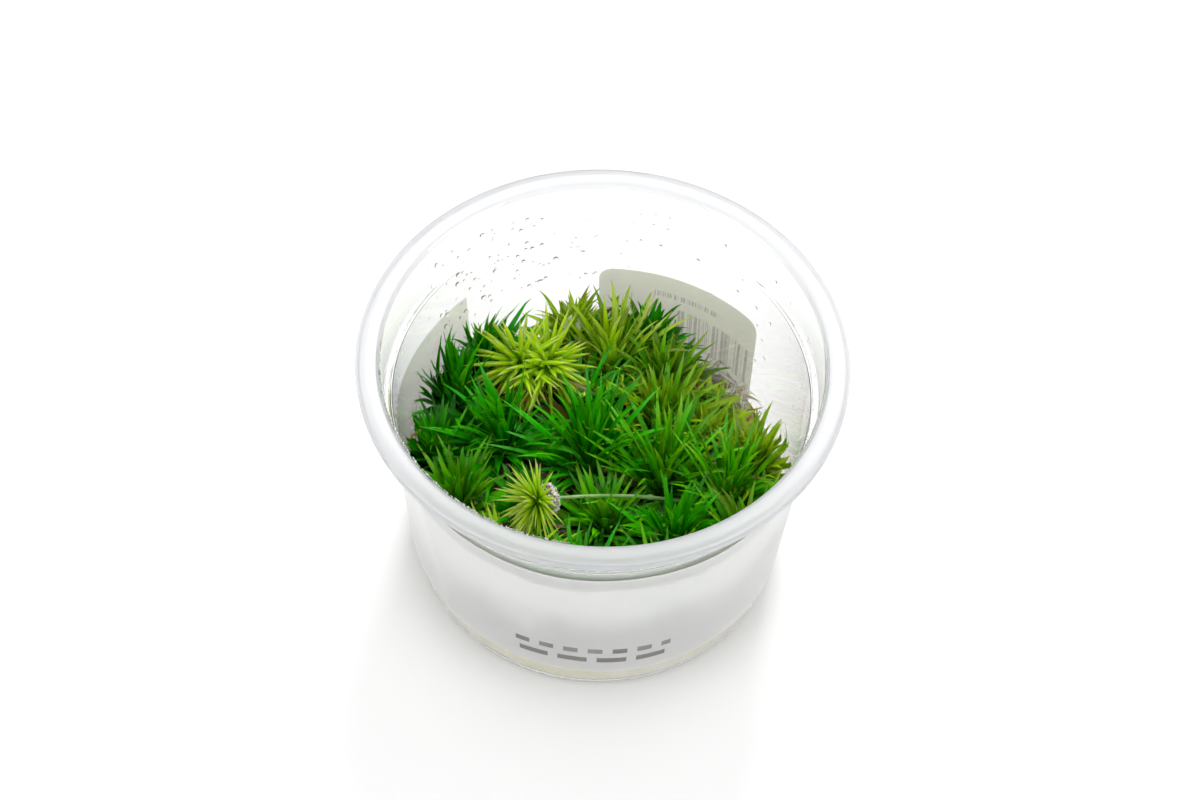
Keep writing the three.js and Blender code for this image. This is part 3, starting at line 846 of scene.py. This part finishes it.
def wall_point(azimuth_deg, height, lift):
    """Point outside the wall."""
    return round_axis(math.radians(azimuth_deg), inner_radius(height) + WALL + lift, height)


def outward(face):
    """How far a face looks away from the axis: 1 is straight outwards, -1 straight inwards."""
    middle = face.calc_center_median()
    return face.normal.dot(Vector((middle.x, middle.y, 0)).normalized())


def wrapped(bm, on_wall):
    """Bends a flat label, drawn in the XY plane in millimetres, round the wall as a thin sheet
    with its gummed side inwards."""
    map_corners(bm, "print", lambda flat: (flat.x / 10, flat.y / 10))
    for vert in bm.verts:
        vert.co = on_wall(vert.co.x, vert.co.y, GAP)
    bmesh.ops.recalc_face_normals(bm, faces=bm.faces)
    if sum(outward(face) for face in bm.faces) > 0:
        bmesh.ops.reverse_faces(bm, faces=bm.faces)
    bmesh.ops.solidify(bm, geom=bm.faces, thickness=PAPER)
    bm.normal_update()
    for face in bm.faces:
        face.material_index = 1 if outward(face) < -0.5 else 0
    bmesh.ops.recalc_face_normals(bm, faces=bm.faces)


def add_wrap_label(face, gum):
    """The wide label: it sags towards its left end and has one crease."""
    radius = inner_radius((WRAP_TOP + WRAP_BOTTOM) / 2) + WALL
    per_degree = math.radians(1) * radius
    wide = (WRAP_TO - WRAP_FROM) * per_degree
    tall = WRAP_TOP - WRAP_BOTTOM
    bm = flat_sheet(WRAP_GRID, wide, tall)
    bmesh.ops.translate(bm, vec=((WRAP_TO + WRAP_FROM) / 2 * per_degree,
                                 (WRAP_TOP + WRAP_BOTTOM) / 2, 0), verts=bm.verts)

    def on_wall(x, y, lift):
        azimuth = x / per_degree
        share = (y - WRAP_BOTTOM) / tall
        past = clamped((WRAP_SAG_FROM - azimuth) / WRAP_SAG_OVER)
        drop = blend(share, WRAP_SAG_BOTTOM, WRAP_SAG_TOP)
        height = y - drop * past * past * (3 - 2 * past)
        ripple = WRAP_RIPPLE * math.sin(azimuth / 7) * math.sin(height / 9)
        across = (azimuth - CREASE_AZIMUTH + share * 6) / 3
        crease = CREASE_HEIGHT * math.exp(-across ** 2)
        return wall_point(azimuth, height, lift + WRAP_RIPPLE + ripple + crease)

    wrapped(bm, on_wall)
    materials = [paper("coated_label_front", face, bars_of_words),
                 paper("label_gum_front", gum, None)]
    finish_piece("wrap_label_sheet", bm, materials, ["wrap_label"])


def add_back_label(face, gum):
    """The small label with rounded corners, stuck on a little askew."""
    bm = flat_sheet(BACK_GRID, BACK_WIDTH, BACK_TALL)
    half = Vector((BACK_WIDTH / 2 - BACK_CORNER, BACK_TALL / 2 - BACK_CORNER))
    for vert in bm.verts:
        out = Vector((abs(vert.co.x) - half.x, abs(vert.co.y) - half.y))
        if min(out) > 0:
            keep = max(out) / out.length
            vert.co.x = math.copysign(half.x + out.x * keep, vert.co.x)
            vert.co.y = math.copysign(half.y + out.y * keep, vert.co.y)
    tilt = math.radians(BACK_TILT)

    def on_wall(x, y, lift):
        turned_x = x * math.cos(tilt) - y * math.sin(tilt)
        turned_y = x * math.sin(tilt) + y * math.cos(tilt)
        height = BACK_HEIGHT + turned_y
        azimuth = BACK_AZIMUTH + math.degrees(turned_x / (inner_radius(height) + WALL))
        return wall_point(azimuth, height, lift)

    wrapped(bm, on_wall)
    materials = [paper("coated_label_back", face, bars_upright),
                 paper("label_gum_back", gum, bars_upright, GUM_STRENGTH, GUM_DEPTH)]
    finish_piece("back_label_sheet", bm, materials, ["back_label"])


class PIPEWORT_OT_labels(bpy.types.Operator):
    """Add the wide label round the front and the small label at the back"""

    bl_idname = "pipewort.labels"
    bl_label = "Add Labels"

    def execute(self, context):
        face, gum = colours().label, colours().gum
        add_wrap_label(face, gum)
        add_back_label(face, gum)
        return {"FINISHED"}


# Leaves

def leaf_template():
    """One straight leaf along +Z, 1 long and 1 wide: a closed four-sided rod."""
    bm = rod(4, 0.5, LEAF_STEPS)
    bm.verts.layers.float_vector.new("blade")
    map_corners(bm, "veins", lambda point: (point.x + 0.5, point.z))
    return as_mesh("leaf_template", bm)


def no_leaves():
    """An empty shape with the layers that leaves carry."""
    bm = bmesh.new()
    bm.verts.layers.float_vector.new("blade")
    bm.loops.layers.uv.new("veins")
    return bm


def width_along(share):
    """Share of a leaf's greatest width: clasping base, widest a third up, drawn to a point."""
    if share < WIDEST_AT:
        return 0.78 + 0.22 * share / WIDEST_AT
    return max(1 - ((share - WIDEST_AT) / (1 - WIDEST_AT)) ** 1.8, 0.03)


def add_leaf(bm, template, curve, side, width, thickness, kinds, shade):
    """Adds a leaf that follows a curve, given by its points, with its flat side turned up.
    Kinds are its colour kinds at the base, in the middle and at the point."""
    leaf = add_copy(bm, template)
    blade = bm.verts.layers.float_vector["blade"]
    steps = len(curve) - 1
    for vert in leaf:
        share = clamped(vert.co.z)
        step = min(int(round(share * steps)), steps)
        here = curve[step]
        along = (curve[min(step + 1, steps)] - curve[max(step - 1, 0)]).normalized()
        up = along.cross(side).normalized()
        across = along.cross(up)
        wide = width * width_along(share)
        trough = LEAF_TROUGH * wide * (abs(vert.co.x) * 2) ** 2
        flat = vert.co.y * thickness * (0.4 + 0.6 * width_along(share))
        place = here + across * (vert.co.x * wide) + up * (flat + trough)
        room = inner_radius(place.z) - GAP
        out = math.hypot(place.x, place.y)
        if out > room and place.z < LEDGE_HEIGHT:
            place.x *= room / out
            place.y *= room / out
        place.z = max(place.z, GEL_TOP + 0.1)
        vert.co = place
        if share < GREENEST_AT:
            kind = kinds[0] + (kinds[1] - kinds[0]) * share / GREENEST_AT
        else:
            to_point = (share - GREENEST_AT) / (1 - GREENEST_AT)
            kind = kinds[1] + (kinds[2] - kinds[1]) * to_point ** 2
        vert[blade] = (kind, share, shade)


def bent(start, elbow, tip, steps=LEAF_STEPS):
    """Points of a smooth bend from start to tip."""
    points = []
    for i in range(steps + 1):
        t = i / steps
        points.append(start * (1 - t) ** 2 + elbow * (2 * t * (1 - t)) + tip * (t * t))
    return points


def is_taken(point):
    """Whether a point lies in what rests on top of the mat."""
    away = point - PALE_CENTRE
    if away.length < PALE_LEAF and away.dot(PALE_FACING) > PALE_UNDERSIDE:
        return True
    if (point - STALK_END - TUFT_FACING * HEAD_RADIUS * 2).length < TUFT_LEAF * 0.8:
        return True
    for first, last in ((STALK_START, STALK_BEND), (STALK_BEND, STALK_END)):
        line = last - first
        share = clamped((point - first).dot(line) / line.length_squared)
        off = point - first - line * share
        if math.hypot(off.x, off.y) < STALK_ROOM and off.z > -1.0:
            return True
    return False


def add_rosette(name, entry, template, material):
    """One rosette. A leaf that would run into what lies on the mat is made shorter or left out."""
    x, y, length, lean_x, lean_y, kind, paler_and_highlit = entry
    rng = random.Random(name)
    centre = Vector((x, y, CROWN_HEIGHT))
    bm = no_leaves()
    width = sizes().leaf_width / MM
    thickness = sizes().leaf_thickness / MM
    count = sizes().leaves
    for index in range(count):
        share = (index + 0.5) / count
        azimuth = math.radians(index * GOLDEN_ANGLE + x * TURN_PER_X + y * TURN_PER_Y)
        azimuth += rng.uniform(*TURNS)
        elevation = blend(share ** 1.15, STRAIGHTEST, FLATTEST)
        elevation = math.radians(elevation + rng.uniform(*RISES))
        toward = direction(azimuth, math.cos(elevation), math.sin(elevation))
        side = Vector((-math.sin(azimuth), math.cos(azimuth), 0))
        reach = length * (0.86 + 0.14 * math.sin(math.pi * share)) * rng.uniform(*LENGTHS)
        sway = side * (reach * rng.uniform(*SWAYS))
        dead = share > DYING_SHARE and rng.random() < DYING_CHANCE
        for size in SHORTER:
            curve = leaf_curve(centre, toward, reach * size, lean_x, lean_y, sway * size)
            if not any(is_taken(point) for point in curve[2:]):
                # The shift to a paler colour is partly painted highlight on the right-hand
                # plantlets
                base = max(kind + paler_and_highlit + rng.uniform(*KINDS), 0)
                kinds = (DEAD,) * 3 if dead else (base, base, base + rng.uniform(*POINTS))
                add_leaf(bm, template, curve, side, width * rng.uniform(*WIDTHS), thickness,
                         kinds, rng.random())
                break
    finish_piece(name + "_leaves", bm, [material], [name], LEAF_ANGLE)


def leaf_curve(centre, toward, length, lean_x, lean_y, sway):
    """Points of a leaf that rises from the crown and leans with its plantlet."""
    lift = length * toward.z
    dx = toward.x * length + lean_x * lift
    dy = toward.y * length + lean_y * lift
    rise = math.sqrt(max(length * length - dx * dx - dy * dy, 0))
    rise = min(rise, TIP_CEILING - CROWN_HEIGHT)
    start = centre + toward * (CROWN_RADIUS * 0.6) - Vector((0, 0, 1.2))
    elbow = centre + Vector((dx * ELBOW_OUT, dy * ELBOW_OUT, rise * ELBOW_UP + 1.5))
    tip = centre + Vector((dx, dy, rise)) + sway
    return bent(start, elbow - sway * 0.3, tip)


def add_rosettes():
    """The rosettes of the mat."""
    template = leaf_template()
    material = leaf_material("living_leaf")
    for place, entry in PLANTLETS.items():
        add_rosette("plantlet_" + place, entry, template, material)
    bpy.data.meshes.remove(template)


class PIPEWORT_OT_rosettes(bpy.types.Operator):
    """Add the rosettes of the mat, one piece for each plantlet"""

    bl_idname = "pipewort.rosettes"
    bl_label = "Add Rosettes"

    def execute(self, context):
        add_rosettes()
        return {"FINISHED"}


def star_leaves(bm, template, centre, facing, star, rng):
    """Leaves that spread like a star round a facing direction, the outermost drooping."""
    length, count, widest, width, thickness, kind = star
    turn = UP.rotation_difference(facing)
    for index in range(count):
        share = (index + 0.5) / count
        azimuth = math.radians(index * GOLDEN_ANGLE) + rng.uniform(*STAR_TURNS)
        spread = blend(share ** 0.75, STAR_CLOSEST, widest)
        spread = math.radians(spread + rng.uniform(*STAR_RISES))
        toward = turn @ direction(azimuth, math.sin(spread), math.cos(spread))
        reach = length * (0.55 + 0.45 * min(share / 0.35, 1)) * rng.uniform(*STAR_LENGTHS)
        droop = Vector((0, 0, -reach * rng.uniform(*STAR_DROOPS) * share * share))
        elbow = centre + toward * (reach * 0.55) + Vector((0, 0, reach * 0.05))
        curve = bent(centre + toward * 0.8, elbow, centre + toward * reach + droop)
        side = toward.cross(facing).normalized()
        wide = width * rng.uniform(*STAR_WIDTHS)
        kinds = (kind - BASE_GREENER, kind - rng.uniform(*STAR_KINDS),
                 min(kind + rng.uniform(*STAR_POINTS), CREAM))
        add_leaf(bm, template, curve, side, wide, thickness, kinds, rng.uniform(*STAR_SHADES))


def add_pale_rosette():
    """Two stars of pale leaves on a foot of leaves."""
    template = leaf_template()
    rng = random.Random(PALE_SEED)
    bm = no_leaves()
    for side_step in PALE_POINTS:
        facing = (PALE_FACING + Vector((side_step * 0.07, 0, 0))).normalized()
        centre = PALE_CENTRE + Vector((side_step, 0.5, 0))
        star_leaves(bm, template, centre, facing, PALE_STAR, rng)
    foot = Vector((PALE_CENTRE.x, PALE_CENTRE.y, GEL_TOP))
    for _ in range(FOOT_LEAVES):
        sway = Vector((rng.uniform(-2, 2), rng.uniform(-2, 2), 0))
        curve = bent(foot + sway, (foot + PALE_CENTRE) / 2 + sway * 1.5, PALE_CENTRE)
        add_leaf(bm, template, curve, Vector((1, 0, 0)), FOOT_LEAF_WIDTH,
                 FOOT_LEAF_THICKNESS, (YELLOW,) * 3, FOOT_SHADE)
    bpy.data.meshes.remove(template)
    finish_piece("pale_rosette_leaves", bm, [leaf_material("pale_leaf")],
                 ["plantlet_pale"], LEAF_ANGLE)


class PIPEWORT_OT_pale_rosette(bpy.types.Operator):
    """Add the large pale rosette with two growing points that lies on top of the mat"""

    bl_idname = "pipewort.pale_rosette"
    bl_label = "Add Pale Rosette"

    def execute(self, context):
        add_pale_rosette()
        return {"FINISHED"}


def add_tuft(rng):
    """The tuft of leaves that sprouts from the head."""
    template = leaf_template()
    bm = no_leaves()
    centre = STALK_END + TUFT_FACING * HEAD_THICKNESS
    star_leaves(bm, template, centre, TUFT_FACING, TUFT_STAR, rng)
    bpy.data.meshes.remove(template)
    finish_piece("tuft_leaves", bm, [leaf_material("tuft_leaf")],
                 ["flower_stalk"], LEAF_ANGLE)


def add_stalk():
    """The bent stalk with its one thick joint."""
    bm = rod(10, STALK_RADIUS, STALK_STEPS)
    elbow = STALK_BEND * 2 - (STALK_START + STALK_END) / 2
    curve = bent(STALK_START, elbow, STALK_END, STALK_STEPS)
    for vert in bm.verts:
        step = int(round(vert.co.z * STALK_STEPS))
        along = (curve[min(step + 1, STALK_STEPS)] - curve[max(step - 1, 0)]).normalized()
        side = along.cross(UP).normalized()
        past = (vert.co.z - STALK_JOINT) / JOINT_LENGTH
        joint = 1 + JOINT_THICKER * math.exp(-past ** 2)
        offset = side * vert.co.x + side.cross(along) * vert.co.y
        vert.co = curve[step] + offset * joint
    finish_piece("stalk_tube", bm, [stalk_skin()], sharp_deg=SOFT_ANGLE)


def add_head(rng):
    """A whitish lumpy button, flat where it faces the tuft: blunt bracts packed round it."""
    flatten = HEAD_THICKNESS / (2 * HEAD_RADIUS)
    bm = bmesh.new()
    bmesh.ops.create_icosphere(bm, subdivisions=3, radius=HEAD_RADIUS * HEAD_CORE)
    bmesh.ops.scale(bm, vec=(1, 1, flatten), verts=bm.verts)
    bract = ball_template("bract", 7, 5, BRACT_RADIUS)
    for index in range(BRACTS):
        height = 1 - 2 * ((index + 0.5) / BRACTS)
        azimuth = math.radians(index * GOLDEN_ANGLE)
        way = direction(azimuth, math.sqrt(1 - height * height), height)
        lean = UP.rotation_difference(way)
        size = rng.uniform(*BRACT_SIZES)
        seat = Vector((way.x, way.y, way.z * flatten)) * HEAD_RADIUS * BRACT_SEAT
        for vert in add_copy(bm, bract):
            stretched = Vector((vert.co.x, vert.co.y, vert.co.z * BRACT_LENGTH)) * size
            vert.co = lean @ stretched + seat
    bpy.data.meshes.remove(bract)
    turn = UP.rotation_difference(TUFT_FACING)
    for vert in bm.verts:
        vert.co = turn @ vert.co + STALK_END
    finish_piece("flower_head", bm, [head_bracts()], sharp_deg=SOFT_ANGLE)


class PIPEWORT_OT_flower_stalk(bpy.types.Operator):
    """Add the flower stalk with its button-like head and the tuft that sprouts from it"""

    bl_idname = "pipewort.flower_stalk"
    bl_label = "Add Flower Stalk"

    def execute(self, context):
        rng = random.Random(STALK_SEED)
        add_tuft(rng)
        add_stalk()
        add_head(rng)
        return {"FINISHED"}


def strands(template, clumps, wide, rng):
    """The loose strands of some clumps, all of about one width."""
    bm = no_leaves()
    for x, y, z, spread, count, length in clumps:
        for _ in range(count):
            start = Vector((x + rng.uniform(-spread, spread),
                            y + rng.uniform(-spread, spread),
                            z + rng.uniform(-CLUMP_RISE, CLUMP_RISE)))
            strand(bm, template, start, length, wide, rng)
    return bm


def strand(bm, template, start, length, wide, rng):
    """One loose strand, bent and turned at random."""
    azimuth = rng.uniform(0, math.tau)
    way = direction(azimuth, 1, rng.uniform(*STRAND_RISES))
    reach = length * rng.uniform(*STRAND_LENGTHS)
    sway = Vector((rng.uniform(-1, 1), rng.uniform(-1, 1), rng.uniform(-0.2, 0.6)))
    curve = bent(start, start + way * (reach / 2) + sway * (reach * 0.25), start + way * reach)
    side = way.cross(UP).normalized()
    add_leaf(bm, template, curve, side, wide * rng.uniform(*STRAND_WIDTHS), min(wide, 0.3),
             (DEAD,) * 3, rng.random())


def litter_material(name, hex_colours):
    """Plant fibre without green: dull, blotched from dark to pale, each strand its own."""
    material, tree, shader = new_material(
        name, Roughness=0.55, Subsurface_Weight=0.15, Subsurface_Scale=0.4 * MM)
    blade = add_node(tree, "ShaderNodeAttribute", attribute_name="blade").outputs["Vector"]
    blotch = noise(tree, object_place(tree), 1.6, 3.0)
    both = calc(tree, "ADD", coordinate(tree, blade, "Z"), blotch)
    half = calc(tree, "MULTIPLY", both, 0.5)
    coloured(tree, shader, ramp(tree, half, list(zip((0.25, 0.5, 0.75), hex_colours))))
    bumped(tree, shader, blotch, 0.3, 0.1)
    return material


def add_litter():
    """Loose roots, young roots, dead leaves and dry leaves."""
    template = leaf_template()
    rng = random.Random(LITTER_SEED)
    roots = strands(template, ROOT_CLUMPS, ROOT_WIDTH, rng)
    young = strands(template, PALE_ROOT_CLUMPS, PALE_ROOT_WIDTH, rng)
    dead = strands(template, DEAD_CLUMPS, DEAD_WIDTH, rng)
    for first, last, wide, shade in DRY_LEAVES:
        start, tip = Vector(first), Vector(last)
        curve = bent(start, (start + tip) / 2 + UP, tip)
        side = (curve[-1] - curve[0]).cross(Vector((0, -0.8, 0.6))).normalized()
        add_leaf(dead, template, curve, side, wide, DRY_THICKNESS, (DEAD,) * 3, shade)
    bpy.data.meshes.remove(template)
    for name, bm, fibre, hex_colours, slot in (
        ("loose_roots", roots, "root_fibre", ("#5a3413", "#b5792c", "#dcb970"), "leaf_olive"),
        ("young_roots", young, "young_root", ("#d8cfa6", "#f4f1dd", "#ffffff"), "leaf_yellow"),
        ("dead_leaves", dead, "dead_leaf", ("#7d5526", "#d8c58a", "#f3f2df"), "leaf_olive"),
    ):
        material = litter_material(fibre, hex_colours)
        finish_piece(name, bm, [material], sharp_deg=LEAF_ANGLE)


class PIPEWORT_OT_litter(bpy.types.Operator):
    """Add the loose brown roots and the dead and dry leaves that lie in the mat"""

    bl_idname = "pipewort.litter"
    bl_label = "Add Roots and Dead Leaves"

    def execute(self, context):
        add_litter()
        return {"FINISHED"}


def add_droplets():
    """The droplets of every zone."""
    rng = random.Random(DROPLET_SEED)
    template = ball_template("drop", 8, 5, 1.0)
    bm = bmesh.new()
    for part, azimuths, heights, radii in DROP_ZONES:
        for _ in range(round(sizes().droplets * part)):
            azimuth = math.radians(rng.uniform(*azimuths))
            height = rng.uniform(*heights)
            radius = blend(rng.random() ** 2, *radii)
            add_drop(bm, template, azimuth, height, radius)
    bpy.data.meshes.remove(template)
    finish_piece("condensation_droplets", bm, [water()], sharp_deg=WATER_ANGLE)


def add_drop(bm, template, azimuth, height, radius):
    """One droplet, clinging to the wall."""
    wall = upper_radius(height) if height > LEDGE_HEIGHT else inner_radius(height)
    out = round_axis(azimuth, 1, 0)
    centre = out * (wall - radius * 0.3 - 0.05) + Vector((0, 0, height))
    turn = UP.rotation_difference(out)
    for vert in add_copy(bm, template):
        flat = Vector((vert.co.x, vert.co.y * DROP_TALL, vert.co.z * DROP_DEEP)) * radius
        vert.co = centre + turn @ flat


def add_fog():
    """Fog: droplets too fine to tell apart, which scatter light like ground glass."""
    bm = flat_sheet(FOG_GRID)
    for vert in bm.verts:
        azimuth = math.radians(FOG_REACH * 2 * vert.co.x)
        fade = 1 - (2 * abs(vert.co.x)) ** 4
        height = FOG_HEIGHT + FOG_TALL * vert.co.y * fade
        height += FOG_RAGGED * math.sin(azimuth * 23) * math.cos(azimuth * 11)
        height = min(height, LEDGE_HEIGHT - 0.6)
        vert.co = round_axis(azimuth, inner_radius(height) - 0.06, height)
    bmesh.ops.recalc_face_normals(bm, faces=bm.faces)
    bmesh.ops.solidify(bm, geom=bm.faces, thickness=FOG_THICKNESS)
    bmesh.ops.recalc_face_normals(bm, faces=bm.faces)
    material, tree, shader = new_material(
        "condensation_fog", Base_Color=linear("#eef4ec"), Roughness=0.7, IOR=1.33,
        Transmission_Weight=0.5)
    beads = add_node(tree, "ShaderNodeTexVoronoi", {
        "Vector": object_place(tree), "Scale": 1 / (0.5 * MM)})
    bumped(tree, shader, beads.outputs["Distance"], 0.5, 0.1)
    finish_piece("condensation_fog", bm, [material], sharp_deg=WATER_ANGLE)


class PIPEWORT_OT_condensation(bpy.types.Operator):
    """Add the droplets and the fine fog of condensation on the inside of the wall"""

    bl_idname = "pipewort.condensation"
    bl_label = "Add Condensation"

    def execute(self, context):
        add_droplets()
        add_fog()
        return {"FINISHED"}


def add_floor():
    """The plain floor."""
    mesh = as_mesh("floor", flat_sheet((1, 1), FLOOR_SIZE, FLOOR_SIZE))
    floor = new_object("floor", mesh)
    material, _, _ = new_material("white_floor", Base_Color=colours().floor, Roughness=0.6)
    mesh.materials.append(material)


def add_lights(scene):
    """An even white surround and soft boxes of light."""
    world = bpy.data.worlds.new("studio")
    world.use_nodes = True
    background = world.node_tree.nodes["Background"]
    background.inputs["Color"].default_value = (1.0, 1.0, 1.0, 1.0)
    background.inputs["Strength"].default_value = SKY_STRENGTH
    scene.world = world
    for name, (place, size, power) in LIGHTS.items():
        data = bpy.data.lights.new(name, "AREA")
        data.size = size
        data.energy = power
        light = new_object(name, data)
        light.location = place
        aim = LIT_POINT - Vector(place)
        light.rotation_euler = aim.to_track_quat("-Z", "Y").to_euler()


def add_camera(scene):
    """The camera of the photograph, aimed by where the rim's middle is in the picture."""
    elevation = math.radians(CAMERA_ELEVATION)
    rim = Vector((0, 0, CUP_HEIGHT))
    back = Vector((0, -math.cos(elevation), math.sin(elevation)))
    place = rim + back * CAMERA_DISTANCE
    to_rim = Vector(((RIM_PX[0] - IMAGE_WIDTH / 2) / FOCAL_PX,
                     (IMAGE_HEIGHT / 2 - RIM_PX[1]) / FOCAL_PX, -1)).normalized()
    level = (-back).to_track_quat("-Z", "Y").to_matrix()
    swing = to_rim.rotation_difference(Vector((0, 0, -1))).to_matrix()
    roll = Matrix.Rotation(math.radians(CAMERA_ROLL), 3, "Z")
    data = bpy.data.cameras.new("camera")
    data.sensor_width = SENSOR
    data.lens = FOCAL_PX * SENSOR / IMAGE_WIDTH
    data.clip_start = 0.01
    scene.camera = new_object("camera", data)
    turned = (level @ swing @ roll.inverted()).to_4x4()
    scene.camera.matrix_world = Matrix.Translation(place * MM) @ turned


class PIPEWORT_OT_stage(bpy.types.Operator):
    """Add the plain floor, the soft lights and the camera"""

    bl_idname = "pipewort.stage"
    bl_label = "Add Stage"

    def execute(self, context):
        add_floor()
        add_lights(context.scene)
        add_camera(context.scene)
        context.scene.view_settings.view_transform = "Standard"
        return {"FINISHED"}


class PIPEWORT_PT_panel(bpy.types.Panel):
    """Lists the pieces of the culture cup"""

    bl_label = "Pipewort Culture Cup"
    bl_idname = "PIPEWORT_PT_panel"
    bl_space_type = "VIEW_3D"
    bl_region_type = "UI"
    bl_category = "Pipewort"

    def draw(self, context):
        for group in (context.scene.pipewort_sizes, context.scene.pipewort_colours):
            for name in group.__annotations__:
                self.layout.prop(group, name)
        for step in STEPS:
            self.layout.operator(step.bl_idname)


STEPS = (
    PIPEWORT_OT_cup,
    PIPEWORT_OT_gel,
    PIPEWORT_OT_labels,
    PIPEWORT_OT_rosettes,
    PIPEWORT_OT_pale_rosette,
    PIPEWORT_OT_flower_stalk,
    PIPEWORT_OT_litter,
    PIPEWORT_OT_condensation,
    PIPEWORT_OT_stage,
)
CLASSES = (PipewortSizes, PipewortColours, *STEPS, PIPEWORT_PT_panel)


def register():
    for cls in CLASSES:
        bpy.utils.register_class(cls)
    bpy.types.Scene.pipewort_sizes = PointerProperty(type=PipewortSizes)
    bpy.types.Scene.pipewort_colours = PointerProperty(type=PipewortColours)


def unregister():
    del bpy.types.Scene.pipewort_colours
    del bpy.types.Scene.pipewort_sizes
    for cls in reversed(CLASSES):
        bpy.utils.unregister_class(cls)


def main():
    register()
    bpy.ops.pipewort.cup()
    bpy.ops.pipewort.gel()
    bpy.ops.pipewort.labels()
    bpy.ops.pipewort.rosettes()
    bpy.ops.pipewort.pale_rosette()
    bpy.ops.pipewort.flower_stalk()
    bpy.ops.pipewort.litter()
    bpy.ops.pipewort.condensation()
    bpy.ops.pipewort.stage()


if __name__ == "__main__":
    main()
